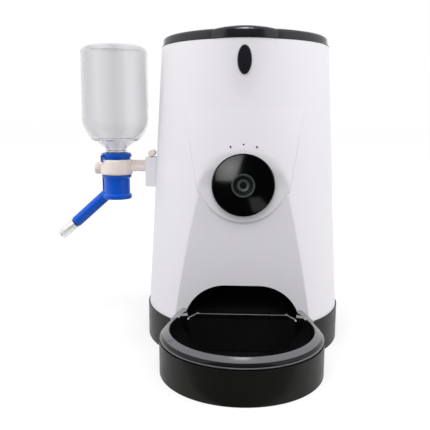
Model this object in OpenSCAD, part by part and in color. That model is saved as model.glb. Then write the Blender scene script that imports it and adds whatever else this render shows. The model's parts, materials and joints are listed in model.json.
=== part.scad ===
// Automatic pet feeder: a tapered body with a food hopper, a motor-driven metering rotor, a lift-out bowl
// and a clip-on water bottle. Millimetres. The origin lies on the floor, on the axis of the body.
// +Z is up, the front faces -Y and the bottle hangs on the -X side.

/* [Base] */
// Outside diameter of the base ring under the body
base_d = 240; // [238:1:246]
// Height of the base moulding
base_h = 39; // [38:1:44]
// Wall, floor and deck thickness of the base
base_wall = 3; // [2.4:0.1:3.6]
// How far the rubber feet lift the base off the floor
foot_lift = 2; // [1.5:0.5:4]
// Diameter of a rubber foot
foot_d = 16; // [12:1:20]
// Outside diameter of the bowl holder
holder_d = 178; // [174:1:186]
// Distance from the body axis forward to the centre of the bowl
holder_reach = 126; // [123:1:130]
// Height of the bowl holder wall
holder_h = 34.5; // [30:0.5:36]
// Fillet in plan where the bowl holder meets the base ring
waist_r = 14; // [6:1:20]
// Diameter of the hole of the power inlet
inlet_d = 11; // [9:0.5:13]

/* [Body] */
// Outside diameter of the body where it stands on the base
body_foot_d = 236.6; // [230:0.2:238]
// Outside diameter of the body under the lid
body_top_d = 199.6; // [196:0.2:204]
// Height of the body
body_h = 313; // [305:1:325]
// Wall thickness of the body
body_wall = 2.5; // [2:0.1:3]
// Radius of the raised spine under the front of the lid
spine_r = 64; // [58:1:70]
// How far the spine stands out from the body under the lid
spine_proud = 3.2; // [2.5:0.1:4]
// Width of the brow panel at its lower end
brow_low_w = 97; // [90:1:104]
// Width of the brow panel at its upper end
brow_top_w = 132; // [120:1:140]
// How far the brow stands out at its lower end
brow_rise = 1; // [0.6:0.1:1.6]
// Height of the brow's lower end above the base
brow_low_h = 150; // [140:1:158]
// Height of the brow's upper end above the base
brow_top_h = 241; // [230:1:250]
// Length of the raised spine
spine_run = 72; // [60:1:80]

/* [Front recess and mouth] */
// Distance from the body axis to the recess face at the foot of the body
recess_reach = 89.4; // [88:0.2:91]
// Lean of the recess face in degrees
recess_tilt = 3.34; // [2.8:0.02:3.8]
// Height above the base at which the recess starts to curve out
recess_bend_h = 159; // [150:1:168]
// Radius of that curve
recess_bend_r = 135; // [110:1:160]
// Width of the food mouth
mouth_w = 132; // [128:1:136]
// Height of the food mouth above the base
mouth_h = 41; // [38:1:46]
// Width of the straight top of the food mouth
mouth_top_w = 60; // [50:1:70]
// Radius of the arch of the food mouth
mouth_arch_r = 81.4; // [78:0.2:86]

/* [Camera] */
// Height of the lens above the base
camera_h = 158; // [154:1:162]
// Diameter of the black window
window_d = 67.5; // [62:0.5:70]
// Thickness of the window at its edge
window_t = 6; // [5:0.2:7]
// Height of the dome of the window
window_crown = 2; // [1:0.2:3]
// Diameter of the raised disc round the window
bezel_d = 98; // [92:1:104]
// Height of the disc's centre above the lens
bezel_lift = 7; // [4:0.5:9]
// Distance from the body axis to the face of the disc
bezel_reach = 98.8; // [98:0.1:99.6]
// Outside diameter of the lens barrel
barrel_d = 26; // [22:0.5:30]
// Diameter of an indicator window
indicator_d = 1.8; // [1.4:0.1:2.4]
// Spacing of the indicator windows
indicator_pitch = 14; // [11:0.5:17]
// Height of the middle indicator window above the lens
indicator_h = 43.7; // [42:0.1:46]
// How far the outer indicator windows lie below the middle one
indicator_sag = 2.6; // [0:0.1:4]

/* [Lid] */
// Height of the lid's rim
lid_h = 10; // [9:0.5:13]
// Height of the crown above the rim
lid_crown = 2; // [1:0.5:3]
// Wall thickness of the lid
lid_wall = 2.5; // [2:0.1:3]
// How far the lid stands out over the body
lid_lip = 0.4; // [0.2:0.1:0.8]
// Height of the front tab above the rim
tab_rise = 1.5; // [0.5:0.5:2]
// Distance of the hinge axis behind the body
hinge_out = 6.2; // [6:0.2:8]
// Diameter of the hinge pin
hinge_pin_d = 3; // [2.6:0.1:3.6]
// Outside diameter of the hinge knuckles
knuckle_d = 9; // [8:0.5:10]
// Width of the lid's knuckle
knuckle_w = 24; // [18:1:30]
// Width of each hinge ear on the body
ear_w = 8; // [6:0.5:10]

/* [Release button] */
// Width of the button
button_w = 14.5; // [13:0.5:16]
// Height of the button
button_h = 29; // [26:0.5:31]
// Distance of the button's centre below the lid
button_drop = 23; // [21:0.5:26]
// How far the button stands out
button_proud = 1.2; // [0.6:0.1:1.8]
// Travel of the button
button_travel = 2.5; // [2:0.1:3]

/* [Hopper and rotor] */
// Gap between the hopper and the inside of the body at its top
hopper_gap = 4.3; // [3.5:0.1:8]
// Wall thickness of the hopper
hopper_wall = 2; // [1.6:0.1:2.4]
// Gap between the hopper's flat front and the latch guide
hopper_front_gap = 4.8; // [3:0.1:6]
// Outside diameter of the metering drum and of the hopper's throat
drum_d = 132; // [126:1:134]
// Height of the metering drum's underside above the base
drum_lift = 54; // [52:1:58]
// Height of the metering drum
drum_h = 46; // [42:1:52]
// Wall thickness of the metering drum
drum_wall = 2.5; // [2:0.1:3]
// Number of rotor vanes
vane_count = 6; // [4:1:8]
// Thickness of a rotor vane
vane_t = 2.5; // [2:0.1:3.5]
// Diameter of the rotor shaft
shaft_d = 8; // [7:0.2:9]

/* [Drive] */
// Gear module
gear_module = 1; // [0.9:0.05:1.1]
// Teeth on the drive gear
gear_teeth = 48; // [44:4:52]
// Teeth on the motor pinion
pinion_teeth = 16; // [14:2:18]
// Face width of the drive gear
gear_w = 7; // [6:0.5:8]
// Diameter of the motor and its gearbox
motor_d = 36; // [32:1:38]
// Length of the motor and its gearbox
motor_l = 32; // [28:1:33]
// Diameter of the motor shaft
motor_shaft_d = 5; // [4:0.2:6]

/* [Bowl] */
// Outside diameter of the bowl at the lower edge of its rim
bowl_rim_d = 176; // [174:0.5:177]
// Diameter of the crest of the rim
bowl_crest_d = 156; // [150:1:160]
// Height of the bowl from its underside to the crest
bowl_h = 42.2; // [41:0.2:44]
// Wall thickness of the bowl
bowl_wall = 2; // [1.6:0.1:2.4]
// Outside diameter of the flat underside of the bowl
bowl_floor_d = 108; // [96:1:110]
// Width of the bowl's rear lip
tongue_w = 108; // [100:1:112]
// Length of the bowl's tongue behind the body's front
tongue_l = 15.5; // [13:0.5:16]

/* [Bottle] */
// Distance from the body axis to the bottle axis
bottle_reach = 160; // [158:1:164]
// Outside diameter of the bottle
bottle_d = 80.6; // [76:0.2:81]
// Height of the bottle from its neck to its flat end
bottle_h = 125; // [115:1:140]
// Wall thickness of the bottle
bottle_wall = 1.2; // [1:0.1:1.6]
// Radius of the bottle's shoulder
shoulder_r = 20; // [16:1:24]
// Slope of the shoulder in degrees
shoulder_slope = 38; // [32:1:44]
// Radius round the flat end
bottle_corner_r = 11; // [8:0.5:14]
// Outside diameter of the neck under its thread
neck_d = 25; // [24.4:0.2:25.4]
// Length of the neck
neck_l = 24.8; // [24:0.2:30]
// Pitch of the bottle thread
thread_pitch = 3.18; // [3:0.02:3.4]
// Depth of the bottle thread
thread_depth = 1.2; // [1:0.05:1.3]

/* [Valve] */
// Diameter of the valve's collar
collar_d = 37.2; // [36.4:0.2:40]
// Height of the valve's collar
collar_h = 8; // [6:0.5:10]
// Outside diameter of the valve body below the clamp ring
valve_d = 32.6; // [32:0.2:34]
// Length of the valve body below the clamp ring
valve_l = 30.5; // [28:0.5:34]
// Angle of the spout below the horizontal in degrees
spout_angle = 40.5; // [38:0.5:44]
// Outside diameter of the spout
spout_d = 12.6; // [12:0.1:14]
// Distance from the bottle axis to the end of the spout, along it
spout_l = 71.5; // [66:0.5:76]
// Outside diameter of the steel nozzle
nozzle_d = 12; // [11.4:0.1:12.2]
// Length of steel nozzle outside the spout
nozzle_l = 26.5; // [22:0.5:30]
// Diameter of the nozzle ball
ball_d = 8.6; // [8:0.1:9]
// Travel of the nozzle ball
ball_travel = 1.5; // [1:0.1:2]

/* [Bottle bracket] */
// Height of the socket's lower edge above the base
socket_rise = 145; // [140:1:150]
// Height of the socket
socket_h = 36; // [34:1:42]
// Width of the socket
socket_w = 28; // [26:0.5:34]
// Depth of the socket from the body
socket_t = 11.5; // [11:0.1:13]
// Height of the bracket's arm above the socket's lower edge
arm_rise = 18; // [16:0.5:19]
// Height of the bracket's arm
arm_h = 14; // [12:0.5:15]
// Width of the bracket's arm
arm_w = 10; // [8:0.5:12]
// Height of the clamp ring
ring_h = 19.2; // [17:0.2:21]
// Wall thickness of the clamp ring
ring_wall = 3; // [2.6:0.1:3.4]
// Thickness of the bracket's tail
tail_t = 3; // [2.6:0.1:3.4]
// Width of the bracket's tail
tail_w = 18; // [15:0.5:19]

/* [Hidden] */
$fn = 96;

// Gap between pieces that move past each other
fit = 0.3;
// Gap between pieces that are fixed together
seat = 0.05;
// Wider gap where a moving piece swings or slides by
clear = 1;
// Length that a cutting shape runs past the face it cuts
past = 5;
// Half length of the slabs and prisms that cut the front of the body
reach = 200;

// Heights
holder_floor_z = foot_lift + base_wall;
holder_z = foot_lift + holder_h;
deck_z = foot_lift + base_h;
body_z1 = deck_z + body_h;
camera_z = deck_z + camera_h;
indicator_z = camera_z + indicator_h;
mouth_z = deck_z + mouth_h;
drum_z0 = deck_z + drum_lift;
drum_z1 = drum_z0 + drum_h;
lid_z0 = body_z1 + fit;
lid_z1 = lid_z0 + lid_h;
button_z = body_z1 - button_drop;
base_r = base_d / 2;
holder_r = holder_d / 2;

function body_r(z) = body_foot_d / 2 + (body_top_d - body_foot_d) / 2 * (z - deck_z) / body_h;
function recess_y(z) = -recess_reach - (z - deck_z) * tan(recess_tilt);
function arc(centre, r, from, to, steps = 8) =
    [for (i = [0:steps]) let (a = from + (to - from) * i / steps) centre + r * [cos(a), sin(a)]];

// Shared shapes
module box(from, to) {
    translate(from) cube(to - from);
}

module along_y(r, from, to, x = 0, z = 0) {
    translate([x, from, z]) rotate([-90, 0, 0]) cylinder(r = r, h = to - from);
}

module along_x(r, from, to, y = 0, z = 0) {
    translate([from, y, z]) rotate([0, 90, 0]) cylinder(r = r, h = to - from);
}

// Extrudes an outline drawn in Y and Z by its half width to both sides
module prism_x(half_w) {
    rotate([90, 0, 90]) linear_extrude(2 * half_w, center = true) children();
}

// Extrudes an outline drawn in X and Z between two values of Y
module prism_y(from, to) {
    translate([0, to, 0]) rotate([90, 0, 0]) linear_extrude(to - from) children();
}

module both_sides() {
    children();
    mirror([1, 0, 0]) children();
}

module ring(r_out, r_in, from, to) {
    translate([0, 0, from]) difference() {
        cylinder(r = r_out, h = to - from);
        translate([0, 0, -past]) cylinder(r = r_in, h = to - from + 2 * past);
    }
}

// An oval of four arcs, high along Y
module oval(w, h) {
    end_r = w / 4;
    side_r = (pow(w / 2, 2) + pow(h / 2 - end_r, 2) - pow(end_r, 2)) / (w - 2 * end_r);
    join_y = (h / 2 - end_r) * side_r / (side_r - end_r);
    for (s = [-1, 1]) translate([0, s * (h / 2 - end_r)]) circle(end_r);
    intersection() {
        translate([w / 2 - side_r, 0]) circle(side_r);
        translate([side_r - w / 2, 0]) circle(side_r);
        square([w, 2 * join_y], center = true);
    }
}

// Sweeps a section of points (radius, height) round the axis on a right-hand helix
module helix(section, pitch, turns, steps_per_turn) {
    sides = len(section);
    steps = round(turns * steps_per_turn);
    points = [for (i = [0:steps], p = section)
        let (a = 360 * turns * i / steps) [p[0] * cos(a), p[0] * sin(a), p[1] + pitch * turns * i / steps]];
    walls = [for (i = [0:steps - 1], j = [0:sides - 1])
        let (a = i * sides + j, b = i * sides + (j + 1) % sides)
            each [[a, b, b + sides], [a, b + sides, a + sides]]];
    first = [for (j = [1:sides - 2]) [0, j + 1, j]];
    last = [for (j = [1:sides - 2]) [steps * sides, steps * sides + j, steps * sides + j + 1]];
    polyhedron(points, concat(walls, first, last));
}

// A round-wire compression spring standing on Z = 0
module spring(coil_r, wire_d, length, turns) {
    section = [for (j = [0:5]) [coil_r + wire_d / 2 * cos(60 * j), wire_d / 2 * (1 + sin(60 * j))]];
    helix(section, (length - wire_d) / turns, turns, 12);
}

// A spur gear outline with involute teeth and a named backlash
backlash = 0.24;
pressure = 20;
function involute(a) = tan(a) * 180 / PI - a;
function tooth_half(teeth, r) = let (pitch_r = teeth * gear_module / 2, base = pitch_r * cos(pressure))
    90 / teeth - backlash / pitch_r * 90 / PI + involute(pressure) - involute(acos(min(1, base / r)));

module gear_outline(teeth) {
    pitch_r = teeth * gear_module / 2;
    root_r = pitch_r - 1.3 * gear_module;
    tip_r = pitch_r + 0.95 * gear_module;
    low_r = max(root_r + 0.05 * gear_module, pitch_r * cos(pressure));
    flank = [for (i = [0:4]) low_r + (tip_r - low_r) * i / 4];
    points = [for (t = [0:teeth - 1])
        let (mid = 360 * t / teeth, low_a = tooth_half(teeth, low_r))
            each concat([root_r * [cos(mid - low_a), sin(mid - low_a)]],
                [for (r = flank) let (a = mid - tooth_half(teeth, r)) r * [cos(a), sin(a)]],
                [for (i = [4:-1:0]) let (r = flank[i], a = mid + tooth_half(teeth, r)) r * [cos(a), sin(a)]],
                [root_r * [cos(mid + low_a), sin(mid + low_a)]])];
    polygon(points);
}

// A screw with its head's underside at Z = 0 and its shank running up
module screw(shank_d, shank_l, head_d, head_h) {
    cylinder(d = shank_d, h = shank_l);
    translate([0, 0, -head_h]) difference() {
        cylinder(d = head_d, h = head_h);
        for (a = [0, 90]) rotate(a) translate([0, 0, head_h / 4])
            cube([head_d * 0.6, head_d * 0.16, head_h / 2 + 0.01], center = true);
    }
}

// Base
screw_d = 3;
screw_head_d = 6;
screw_head_h = 2;
screw_bite = 10;
cover_t = 2.6;
cover_head_h = 1.4;
boss_d = 9;
boss_sink = 0.5;
foot_sink = 1;
rear_foot = base_r * [0.63, 0.48];
front_foot = [holder_r * 0.52, -holder_reach - holder_r * 0.52];
foot_spots = [[0, 0], [-rear_foot[0], rear_foot[1]], rear_foot, [-front_foot[0], front_foot[1]], front_foot];
cover_spot_r = base_r - base_wall - boss_d / 2 + boss_sink;
cover_spots = [for (a = [-14, 60, 120, 194]) cover_spot_r * [cos(a), sin(a)]];
body_boss_r = body_foot_d / 2 - body_wall - boss_d / 2 + 2 * boss_sink;
body_spots = [for (a = [-32, 35, 145, 212]) body_boss_r * [cos(a), sin(a)]];
leg_d = 9;
leg_spots = [for (a = [5, 58, 122, 175]) (drum_d / 2 - leg_d / 2) * [cos(a), sin(a)]];
pocket_w = mouth_w;
well_y = recess_y(deck_z) - 1;
bowl_cut_y = well_y - clear;
tongue_y = bowl_cut_y + tongue_l;
pocket_y = tongue_y + 4;
inlet_z = foot_lift + base_h / 2;
rail_w = 5;
rail_h = 24;
board_t = 1.6;
board_w = 76;
board_h = 62;
board_y = 90;

// Plan of the bowl well, widened by a wall where wanted
module well_plan(grow) {
    intersection() {
        translate([0, -holder_reach]) circle(holder_r - base_wall + grow);
        translate([-reach, -holder_reach - reach]) square([2 * reach, reach + holder_reach + well_y + grow]);
    }
    translate([-pocket_w / 2 - grow, -holder_reach])
        square([pocket_w + 2 * grow, holder_reach + pocket_y + grow]);
}

module base_plan() {
    to_base = base_r + waist_r;
    to_holder = holder_r + waist_r;
    turn = acos((pow(to_base, 2) + pow(holder_reach, 2) - pow(to_holder, 2)) / (2 * to_base * holder_reach));
    fx = to_base * sin(turn);
    fy = -to_base * cos(turn);
    circle(base_r);
    translate([0, -holder_reach]) circle(holder_r);
    difference() {
        polygon([[0, 0], [-fx, fy], [0, -holder_reach], [fx, fy]]);
        // A little over size, so that its arc crosses both circles and doesn't only touch them
        for (s = [-1, 1]) translate([s * fx, fy]) circle(waist_r + seat);
    }
}

module base_tray() {
    color("#26262a") difference() {
        union() {
            difference() {
                union() {
                    translate([0, 0, foot_lift]) linear_extrude(holder_h) base_plan();
                    translate([0, 0, foot_lift]) linear_extrude(base_h) difference() {
                        circle(base_r);
                        intersection() {
                            translate([0, -holder_reach]) circle(holder_r);
                            translate([-reach, -reach]) square([2 * reach, reach + well_y]);
                        }
                    }
                }
                translate([0, 0, holder_floor_z]) linear_extrude(base_h) well_plan(0);
                translate([0, 0, foot_lift - past]) linear_extrude(base_h - base_wall + past) difference() {
                    circle(base_r - base_wall);
                    well_plan(base_wall);
                }
            }
            for (p = cover_spots) translate([p[0], p[1], foot_lift + cover_t + seat])
                cylinder(d = boss_d, h = base_h - cover_t - base_wall);
            both_sides() board_rail();
        }
        for (p = cover_spots) translate([p[0], p[1], foot_lift])
            cylinder(d = screw_d + 2 * seat, h = screw_bite + 4);
        for (p = concat(body_spots, leg_spots)) translate([p[0], p[1], deck_z - base_wall - past])
            cylinder(d = screw_d + 2 * seat, h = base_wall + 2 * past);
        for (p = foot_spots) translate([p[0], p[1], foot_lift - past])
            cylinder(d = foot_d + 2 * seat, h = foot_sink + past);
        along_y(inlet_d / 2 + seat, base_r - 3 * base_wall, base_r + past, 0, inlet_z);
    }
}

// A slotted post on the deck that holds one edge of the main board
module board_rail() {
    difference() {
        box([board_w / 2 - 2, board_y - rail_w / 2, deck_z - 1],
            [board_w / 2 + 3, board_y + rail_w, deck_z + rail_h]);
        box([0, board_y - seat, deck_z],
            [board_w / 2 + seat, board_y + board_t + seat, deck_z + rail_h + past]);
    }
}

module bottom_cover() {
    color("#1f1f22") difference() {
        translate([0, 0, foot_lift]) linear_extrude(cover_t) difference() {
            circle(base_r - base_wall - 2 * seat);
            well_plan(base_wall + 2 * seat);
        }
        for (p = cover_spots) translate([p[0], p[1], foot_lift - past]) {
            cylinder(d = screw_d + 2 * seat, h = cover_t + 2 * past);
            cylinder(d = screw_head_d + 2 * seat, h = cover_head_h + past);
        }
        for (p = foot_spots) translate([p[0], p[1], foot_lift - past])
            cylinder(d = foot_d + 2 * seat, h = foot_sink + past);
    }
}

module rubber_feet() {
    bevel = 1;
    color("#3a3a3c") for (p = foot_spots) translate(p) rotate_extrude()
        polygon([[0, 0], [foot_d / 2 - bevel, 0], [foot_d / 2, bevel], [foot_d / 2, foot_lift + foot_sink],
            [0, foot_lift + foot_sink]]);
}

module cover_screws() {
    color("#8d9094") for (p = cover_spots) translate([p[0], p[1], foot_lift + cover_head_h])
        screw(screw_d, screw_bite, screw_head_d, cover_head_h);
}

module body_screws() {
    color("#8d9094") for (p = body_spots) translate([p[0], p[1], deck_z - base_wall])
        screw(screw_d, base_wall + screw_bite, screw_head_d, screw_head_h);
}

module drum_screws() {
    color("#8d9094") for (p = leg_spots) translate([p[0], p[1], deck_z - base_wall])
        screw(screw_d, base_wall + screw_bite, screw_head_d, screw_head_h);
}

module power_inlet() {
    inside_l = 13;
    rim_t = 1.2;
    rim_w = 2;
    bore_d = inlet_d - 4.6;
    wall_y = sqrt(pow(base_r, 2) - pow(inlet_d / 2 + rim_w, 2));
    color("#161618") {
        difference() {
            union() {
                along_y(inlet_d / 2, base_r - base_wall - inside_l, base_r + rim_t, 0, inlet_z);
                along_y(inlet_d / 2 + rim_w, base_r + seat, base_r + rim_t, 0, inlet_z);
                box([-inlet_d / 2 - 1, base_r - base_wall - inside_l, inlet_z - inlet_d / 2 - 1],
                    [inlet_d / 2 + 1, wall_y - base_wall - seat, inlet_z + inlet_d / 2 + 1]);
            }
            along_y(bore_d / 2, base_r - base_wall - inside_l + 3, base_r + past, 0, inlet_z);
        }
        along_y(bore_d / 6, base_r - base_wall - inside_l + 2, base_r - 1, 0, inlet_z);
    }
}

// Body
brow_z0 = deck_z + brow_low_h;
brow_z1 = deck_z + brow_top_h;
spine_y = -(body_top_d / 2 + spine_proud - spine_r);
hinge_y = body_top_d / 2 + hinge_out;
hinge_z = body_z1 + knuckle_d / 2 + fit;
body_boss_h = 16;
button_y = -(body_top_d / 2 + spine_proud);

module body_cone(inset, extra) {
    translate([0, 0, deck_z - extra]) cylinder(r1 = body_r(deck_z - extra) - inset,
        r2 = body_r(body_z1 + extra) - inset, h = body_h + 2 * extra, $fn = 180);
}

// Everything in front of the recess face, moved back by a wall where wanted
module recess_cut(back) {
    bend_z = deck_z + recess_bend_h;
    bend = [recess_y(bend_z), bend_z];
    centre = bend - recess_bend_r * [cos(recess_tilt), sin(recess_tilt)];
    foot_z = deck_z - past;
    prism_x(reach) translate([back, 0]) {
        translate(centre) circle(recess_bend_r);
        polygon([[recess_y(foot_z), foot_z], bend, centre, [-2 * reach, centre[1]], [-2 * reach, foot_z]]);
    }
}

module brow() {
    run_out = 0.2;
    intersection() {
        translate([0, 0, brow_z0]) cylinder(r1 = body_r(brow_z0) + brow_rise,
            r2 = body_r(brow_z1) - run_out, h = brow_z1 - brow_z0, $fn = 180);
        prism_y(-reach, -reach / 4) polygon([[-brow_low_w / 2, brow_z0], [brow_low_w / 2, brow_z0],
            [brow_top_w / 2, brow_z1], [-brow_top_w / 2, brow_z1]]);
    }
}

module spine(grow, from, to) {
    translate([0, spine_y, from]) cylinder(r = spine_r + grow, h = to - from, $fn = 128);
}

module hinge_ears() {
    sink = 1.5;
    root_h = 22;
    chin_h = 8;
    out_y = hinge_y + knuckle_d / 2;
    both_sides() {
        along_x(knuckle_d / 2, knuckle_w / 2 + fit, knuckle_w / 2 + fit + ear_w, hinge_y, hinge_z);
        intersection() {
            prism_x(reach / 2) polygon([[out_y, hinge_z], [hinge_y - knuckle_d / 2, hinge_z],
                [hinge_y - knuckle_d / 2, body_z1 - sink], [0, body_z1 - sink], [0, body_z1 - root_h],
                [body_r(body_z1 - root_h) - 1, body_z1 - root_h], [out_y, body_z1 - chin_h]]);
            box([knuckle_w / 2 + fit, 0, 0], [knuckle_w / 2 + fit + ear_w, reach, 2 * reach]);
        }
    }
}

module mouth_cut() {
    arch_z = mouth_z - sqrt(pow(mouth_arch_r, 2) - pow(mouth_top_w / 2, 2));
    prism_y(-reach, -holder_reach / 2) intersection() {
        translate([0, arch_z]) circle(mouth_arch_r, $fn = 128);
        translate([-mouth_w / 2, deck_z - past]) square([mouth_w, mouth_h + past]);
    }
}

module at_indicators() {
    for (i = [-1:1]) translate([i * indicator_pitch, 0, indicator_z - indicator_sag * abs(i)]) children();
}

module outer_body() {
    color("#eceaf0") difference() {
        union() {
            difference() {
                union() {
                    difference() {
                        union() {
                            body_cone(0, 0);
                            brow();
                            spine(0, body_z1 - spine_run, body_z1);
                        }
                        recess_cut(0);
                    }
                    along_y(bezel_d / 2, -bezel_reach, -bezel_reach + 3, 0, camera_z + bezel_lift);
                    hinge_ears();
                }
                difference() {
                    body_cone(body_wall, 1);
                    recess_cut(body_wall);
                }
            }
            for (p = body_spots) translate([p[0], p[1], deck_z]) intersection() {
                cylinder(d = boss_d, h = body_boss_h);
                translate([-p[0], -p[1], -deck_z]) body_cone(body_wall / 2, 0);
            }
        }
        mouth_cut();
        along_y(window_d / 2 + seat, -reach, -bezel_reach, 0, camera_z);
        along_y(window_d / 2 - 4, -reach, -reach / 4, 0, camera_z);
        at_indicators() along_y(indicator_d / 2 + seat, -reach, -reach / 4);
        prism_y(-reach, -reach / 4) translate([0, button_z]) oval(button_w + 2 * fit, button_h + 2 * fit);
        along_x(hinge_pin_d / 2 + seat / 2, -reach, reach, hinge_y, hinge_z);
        for (p = body_spots) translate([p[0], p[1], deck_z - past])
            cylinder(d = screw_d + 2 * seat, h = screw_bite + 1 + past);
        for (s = socket_screw_spots) along_x(screw_d / 2 + seat, -reach, 0, s[0], s[1]);
    }
}

module lid_hinge_pin() {
    half_l = knuckle_w / 2 + fit + ear_w;
    color("#b9bcc0") along_x(hinge_pin_d / 2, -half_l, half_l, hinge_y, hinge_z);
}

// Camera
window_front = -(bezel_reach + window_t);
camera_can_l = 16;
barrel_back = -bezel_reach + camera_can_l + 4;
camera_board_s = 40;
camera_can_d = window_d - 10;

module camera_window() {
    dome_r = (pow(window_d / 2, 2) + pow(window_crown, 2)) / (2 * window_crown);
    edge_r = 1.4;
    sight_d = barrel_d + 2 * seat;
    color("#0c0c0e") translate([0, -bezel_reach - seat, camera_z]) rotate([90, 0, 0]) difference() {
        union() {
            intersection() {
                rotate_extrude() {
                    square([window_d / 2 - edge_r, window_t + window_crown]);
                    square([window_d / 2, window_t - edge_r]);
                    translate([window_d / 2 - edge_r, window_t - edge_r]) circle(edge_r, $fn = 32);
                }
                translate([0, 0, window_t + window_crown - dome_r]) sphere(dome_r, $fn = 128);
            }
            // Can behind the window that the board closes
            translate([0, 0, -camera_can_l]) cylinder(d = camera_can_d, h = camera_can_l + 1);
        }
        translate([0, 0, -camera_can_l - past]) cylinder(d = sight_d, h = 3 * camera_can_l);
    }
}

module lens_barrel() {
    bore_d = barrel_d - 10;
    color("#3c3f40") difference() {
        along_y(barrel_d / 2, window_front - 1, barrel_back - 4, 0, camera_z);
        along_y(bore_d / 2, -reach, barrel_back - 12, 0, camera_z);
        translate([0, window_front - 1 - seat, camera_z]) rotate([-90, 0, 0])
            cylinder(r1 = barrel_d / 2 - 2, r2 = bore_d / 2, h = 3);
    }
}

module lens_glass() {
    lens_d = barrel_d - 10 - 2 * seat;
    lens_r = lens_d * 0.75;
    color("#1c2a38") intersection() {
        along_y(lens_d / 2, window_front, barrel_back - 12, 0, camera_z);
        translate([0, window_front + 1.5 + lens_r, camera_z]) sphere(lens_r);
    }
}

module camera_board() {
    half = camera_board_s / 2;
    color("#1d5b3a") {
        box([-half, barrel_back - 4, camera_z - half], [half, barrel_back - 4 + board_t, camera_z + half]);
        box([-8, barrel_back - 4 + board_t, camera_z - 6], [8, barrel_back - 1, camera_z + 6]);
    }
}

module indicator_windows() {
    color("#121214") at_indicators() intersection() {
        along_y(indicator_d / 2, -reach, -body_r(indicator_z) + body_wall + 2);
        translate([0, 0, -indicator_z]) body_cone(-brow_rise / 2 - fit, 0);
    }
}

// Boards, chute and drum
module main_board() {
    chip_t = 4;
    relay_t = 9;
    can_d = board_w / 8;
    can_l = 11;
    color("#1d5b3a") {
        box([-board_w / 2, board_y, deck_z], [board_w / 2, board_y + board_t, deck_z + board_h]);
        box([-board_w / 4, board_y - chip_t, deck_z + board_h / 2],
            [board_w / 8, board_y, deck_z + board_h * 3 / 4]);
        box([board_w / 5, board_y - relay_t, deck_z + board_h / 8],
            [board_w * 3 / 8, board_y, deck_z + board_h / 3]);
        for (i = [0:2])
            along_y(can_d / 2, board_y - can_l, board_y,
                -board_w / 3 + 1.1 * can_d * i, deck_z + board_h / 4);
    }
}

chute_wall = 2;
outlet_r = drum_d / 2 - 2 * drum_wall;
outlet_in_r = gear_teeth * gear_module / 2 + 4;
chute_lip_y = tongue_y + 1;
chute_lip_z = deck_z + 5.5;
chute_back_y = -outlet_in_r;
chute_top_z = drum_z0 - seat;

module food_chute() {
    front_gap = 0.5;
    front_low = recess_y(deck_z) + body_wall + front_gap;
    front_top = recess_y(mouth_z) + body_wall + front_gap;
    roof_y = -drum_d / 2 + chute_wall;
    side = [[front_low, deck_z], [front_top, mouth_z + chute_wall], [roof_y, chute_top_z],
        [chute_back_y + chute_wall, chute_top_z], [chute_back_y + chute_wall, chute_top_z - 3 * chute_wall],
        [chute_lip_y, chute_lip_z - chute_wall], [pocket_y + base_wall, deck_z]];
    floor_plate = [[chute_back_y, chute_top_z], [chute_back_y + chute_wall, chute_top_z],
        [chute_back_y + chute_wall, chute_top_z - 3 * chute_wall], [chute_lip_y, chute_lip_z - chute_wall],
        [chute_lip_y, chute_lip_z], [chute_back_y, chute_top_z - 2 * chute_wall]];
    roof_plate = [[front_top, mouth_z + seat], [front_top, mouth_z + chute_wall], [roof_y, chute_top_z],
        [roof_y, chute_top_z - chute_wall]];
    color("#141416") {
        both_sides() translate([pocket_w / 2 + chute_wall / 2, 0, 0]) prism_x(chute_wall / 2) polygon(side);
        prism_x(pocket_w / 2 + seat) polygon(floor_plate);
        prism_x(pocket_w / 2 + seat) polygon(roof_plate);
    }
}

bush_d = shaft_d + 6;

module sector(r_in, r_out, half_angle, from, to) {
    far = 2 * r_out;
    translate([0, 0, from]) linear_extrude(to - from) intersection() {
        difference() {
            circle(r_out);
            circle(r_in);
        }
        polygon([[0, 0], [-far * tan(half_angle), -far], [far * tan(half_angle), -far]]);
    }
}

module metering_drum() {
    color("#c9cacd") difference() {
        union() {
            ring(drum_d / 2, drum_d / 2 - drum_wall, drum_z0, drum_z1);
            translate([0, 0, drum_z0]) cylinder(d = drum_d, h = base_wall);
            for (p = leg_spots) translate([p[0], p[1], deck_z]) cylinder(d = leg_d, h = drum_lift + 1);
        }
        sector(outlet_in_r, outlet_r, 48, drum_z0 - past, drum_z0 + base_wall + past);
        translate([0, 0, drum_z0 - past]) cylinder(d = bush_d + 2 * seat, h = 3 * past);
        for (p = leg_spots) translate([p[0], p[1], deck_z - past])
            cylinder(d = screw_d + 2 * seat, h = screw_bite + 2 + past);
        for (s = standoff_spots) translate([s[0], s[1], drum_z0 - past])
            cylinder(d = screw_d + 2 * seat, h = base_wall + 2 * past);
    }
}

module shaft_bush() {
    running = 0.05;
    rim_t = 1.5;
    rim_w = 2;
    color("#b08d57") translate([0, 0, drum_z0]) difference() {
        union() {
            translate([0, 0, -rim_t]) cylinder(d = bush_d, h = base_wall + 1 + rim_t);
            translate([0, 0, -rim_t]) cylinder(d = bush_d + 2 * rim_w, h = rim_t - seat);
        }
        translate([0, 0, -past]) cylinder(d = shaft_d + 2 * running, h = 4 * past);
    }
}

hopper_d = body_top_d - 2 * (body_wall + hopper_gap);
hopper_z1 = body_z1 - 4;
hopper_bend_z = drum_z1 + 9;
hopper_top_z = body_z1 - body_h / 3;
hopper_floor_t = 2.5;
flange_t = 2.5;

module hopper_solid(inset, from, to) {
    r0 = drum_d / 2 - inset;
    r1 = hopper_d / 2 - inset;
    intersection() {
        rotate_extrude()
            polygon([[0, from], [r0, from], [r0, hopper_bend_z], [r1, hopper_top_z], [r1, to], [0, to]]);
        box([-reach, -hopper_flat + inset, 0], [reach, reach, 2 * reach]);
    }
}

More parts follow.
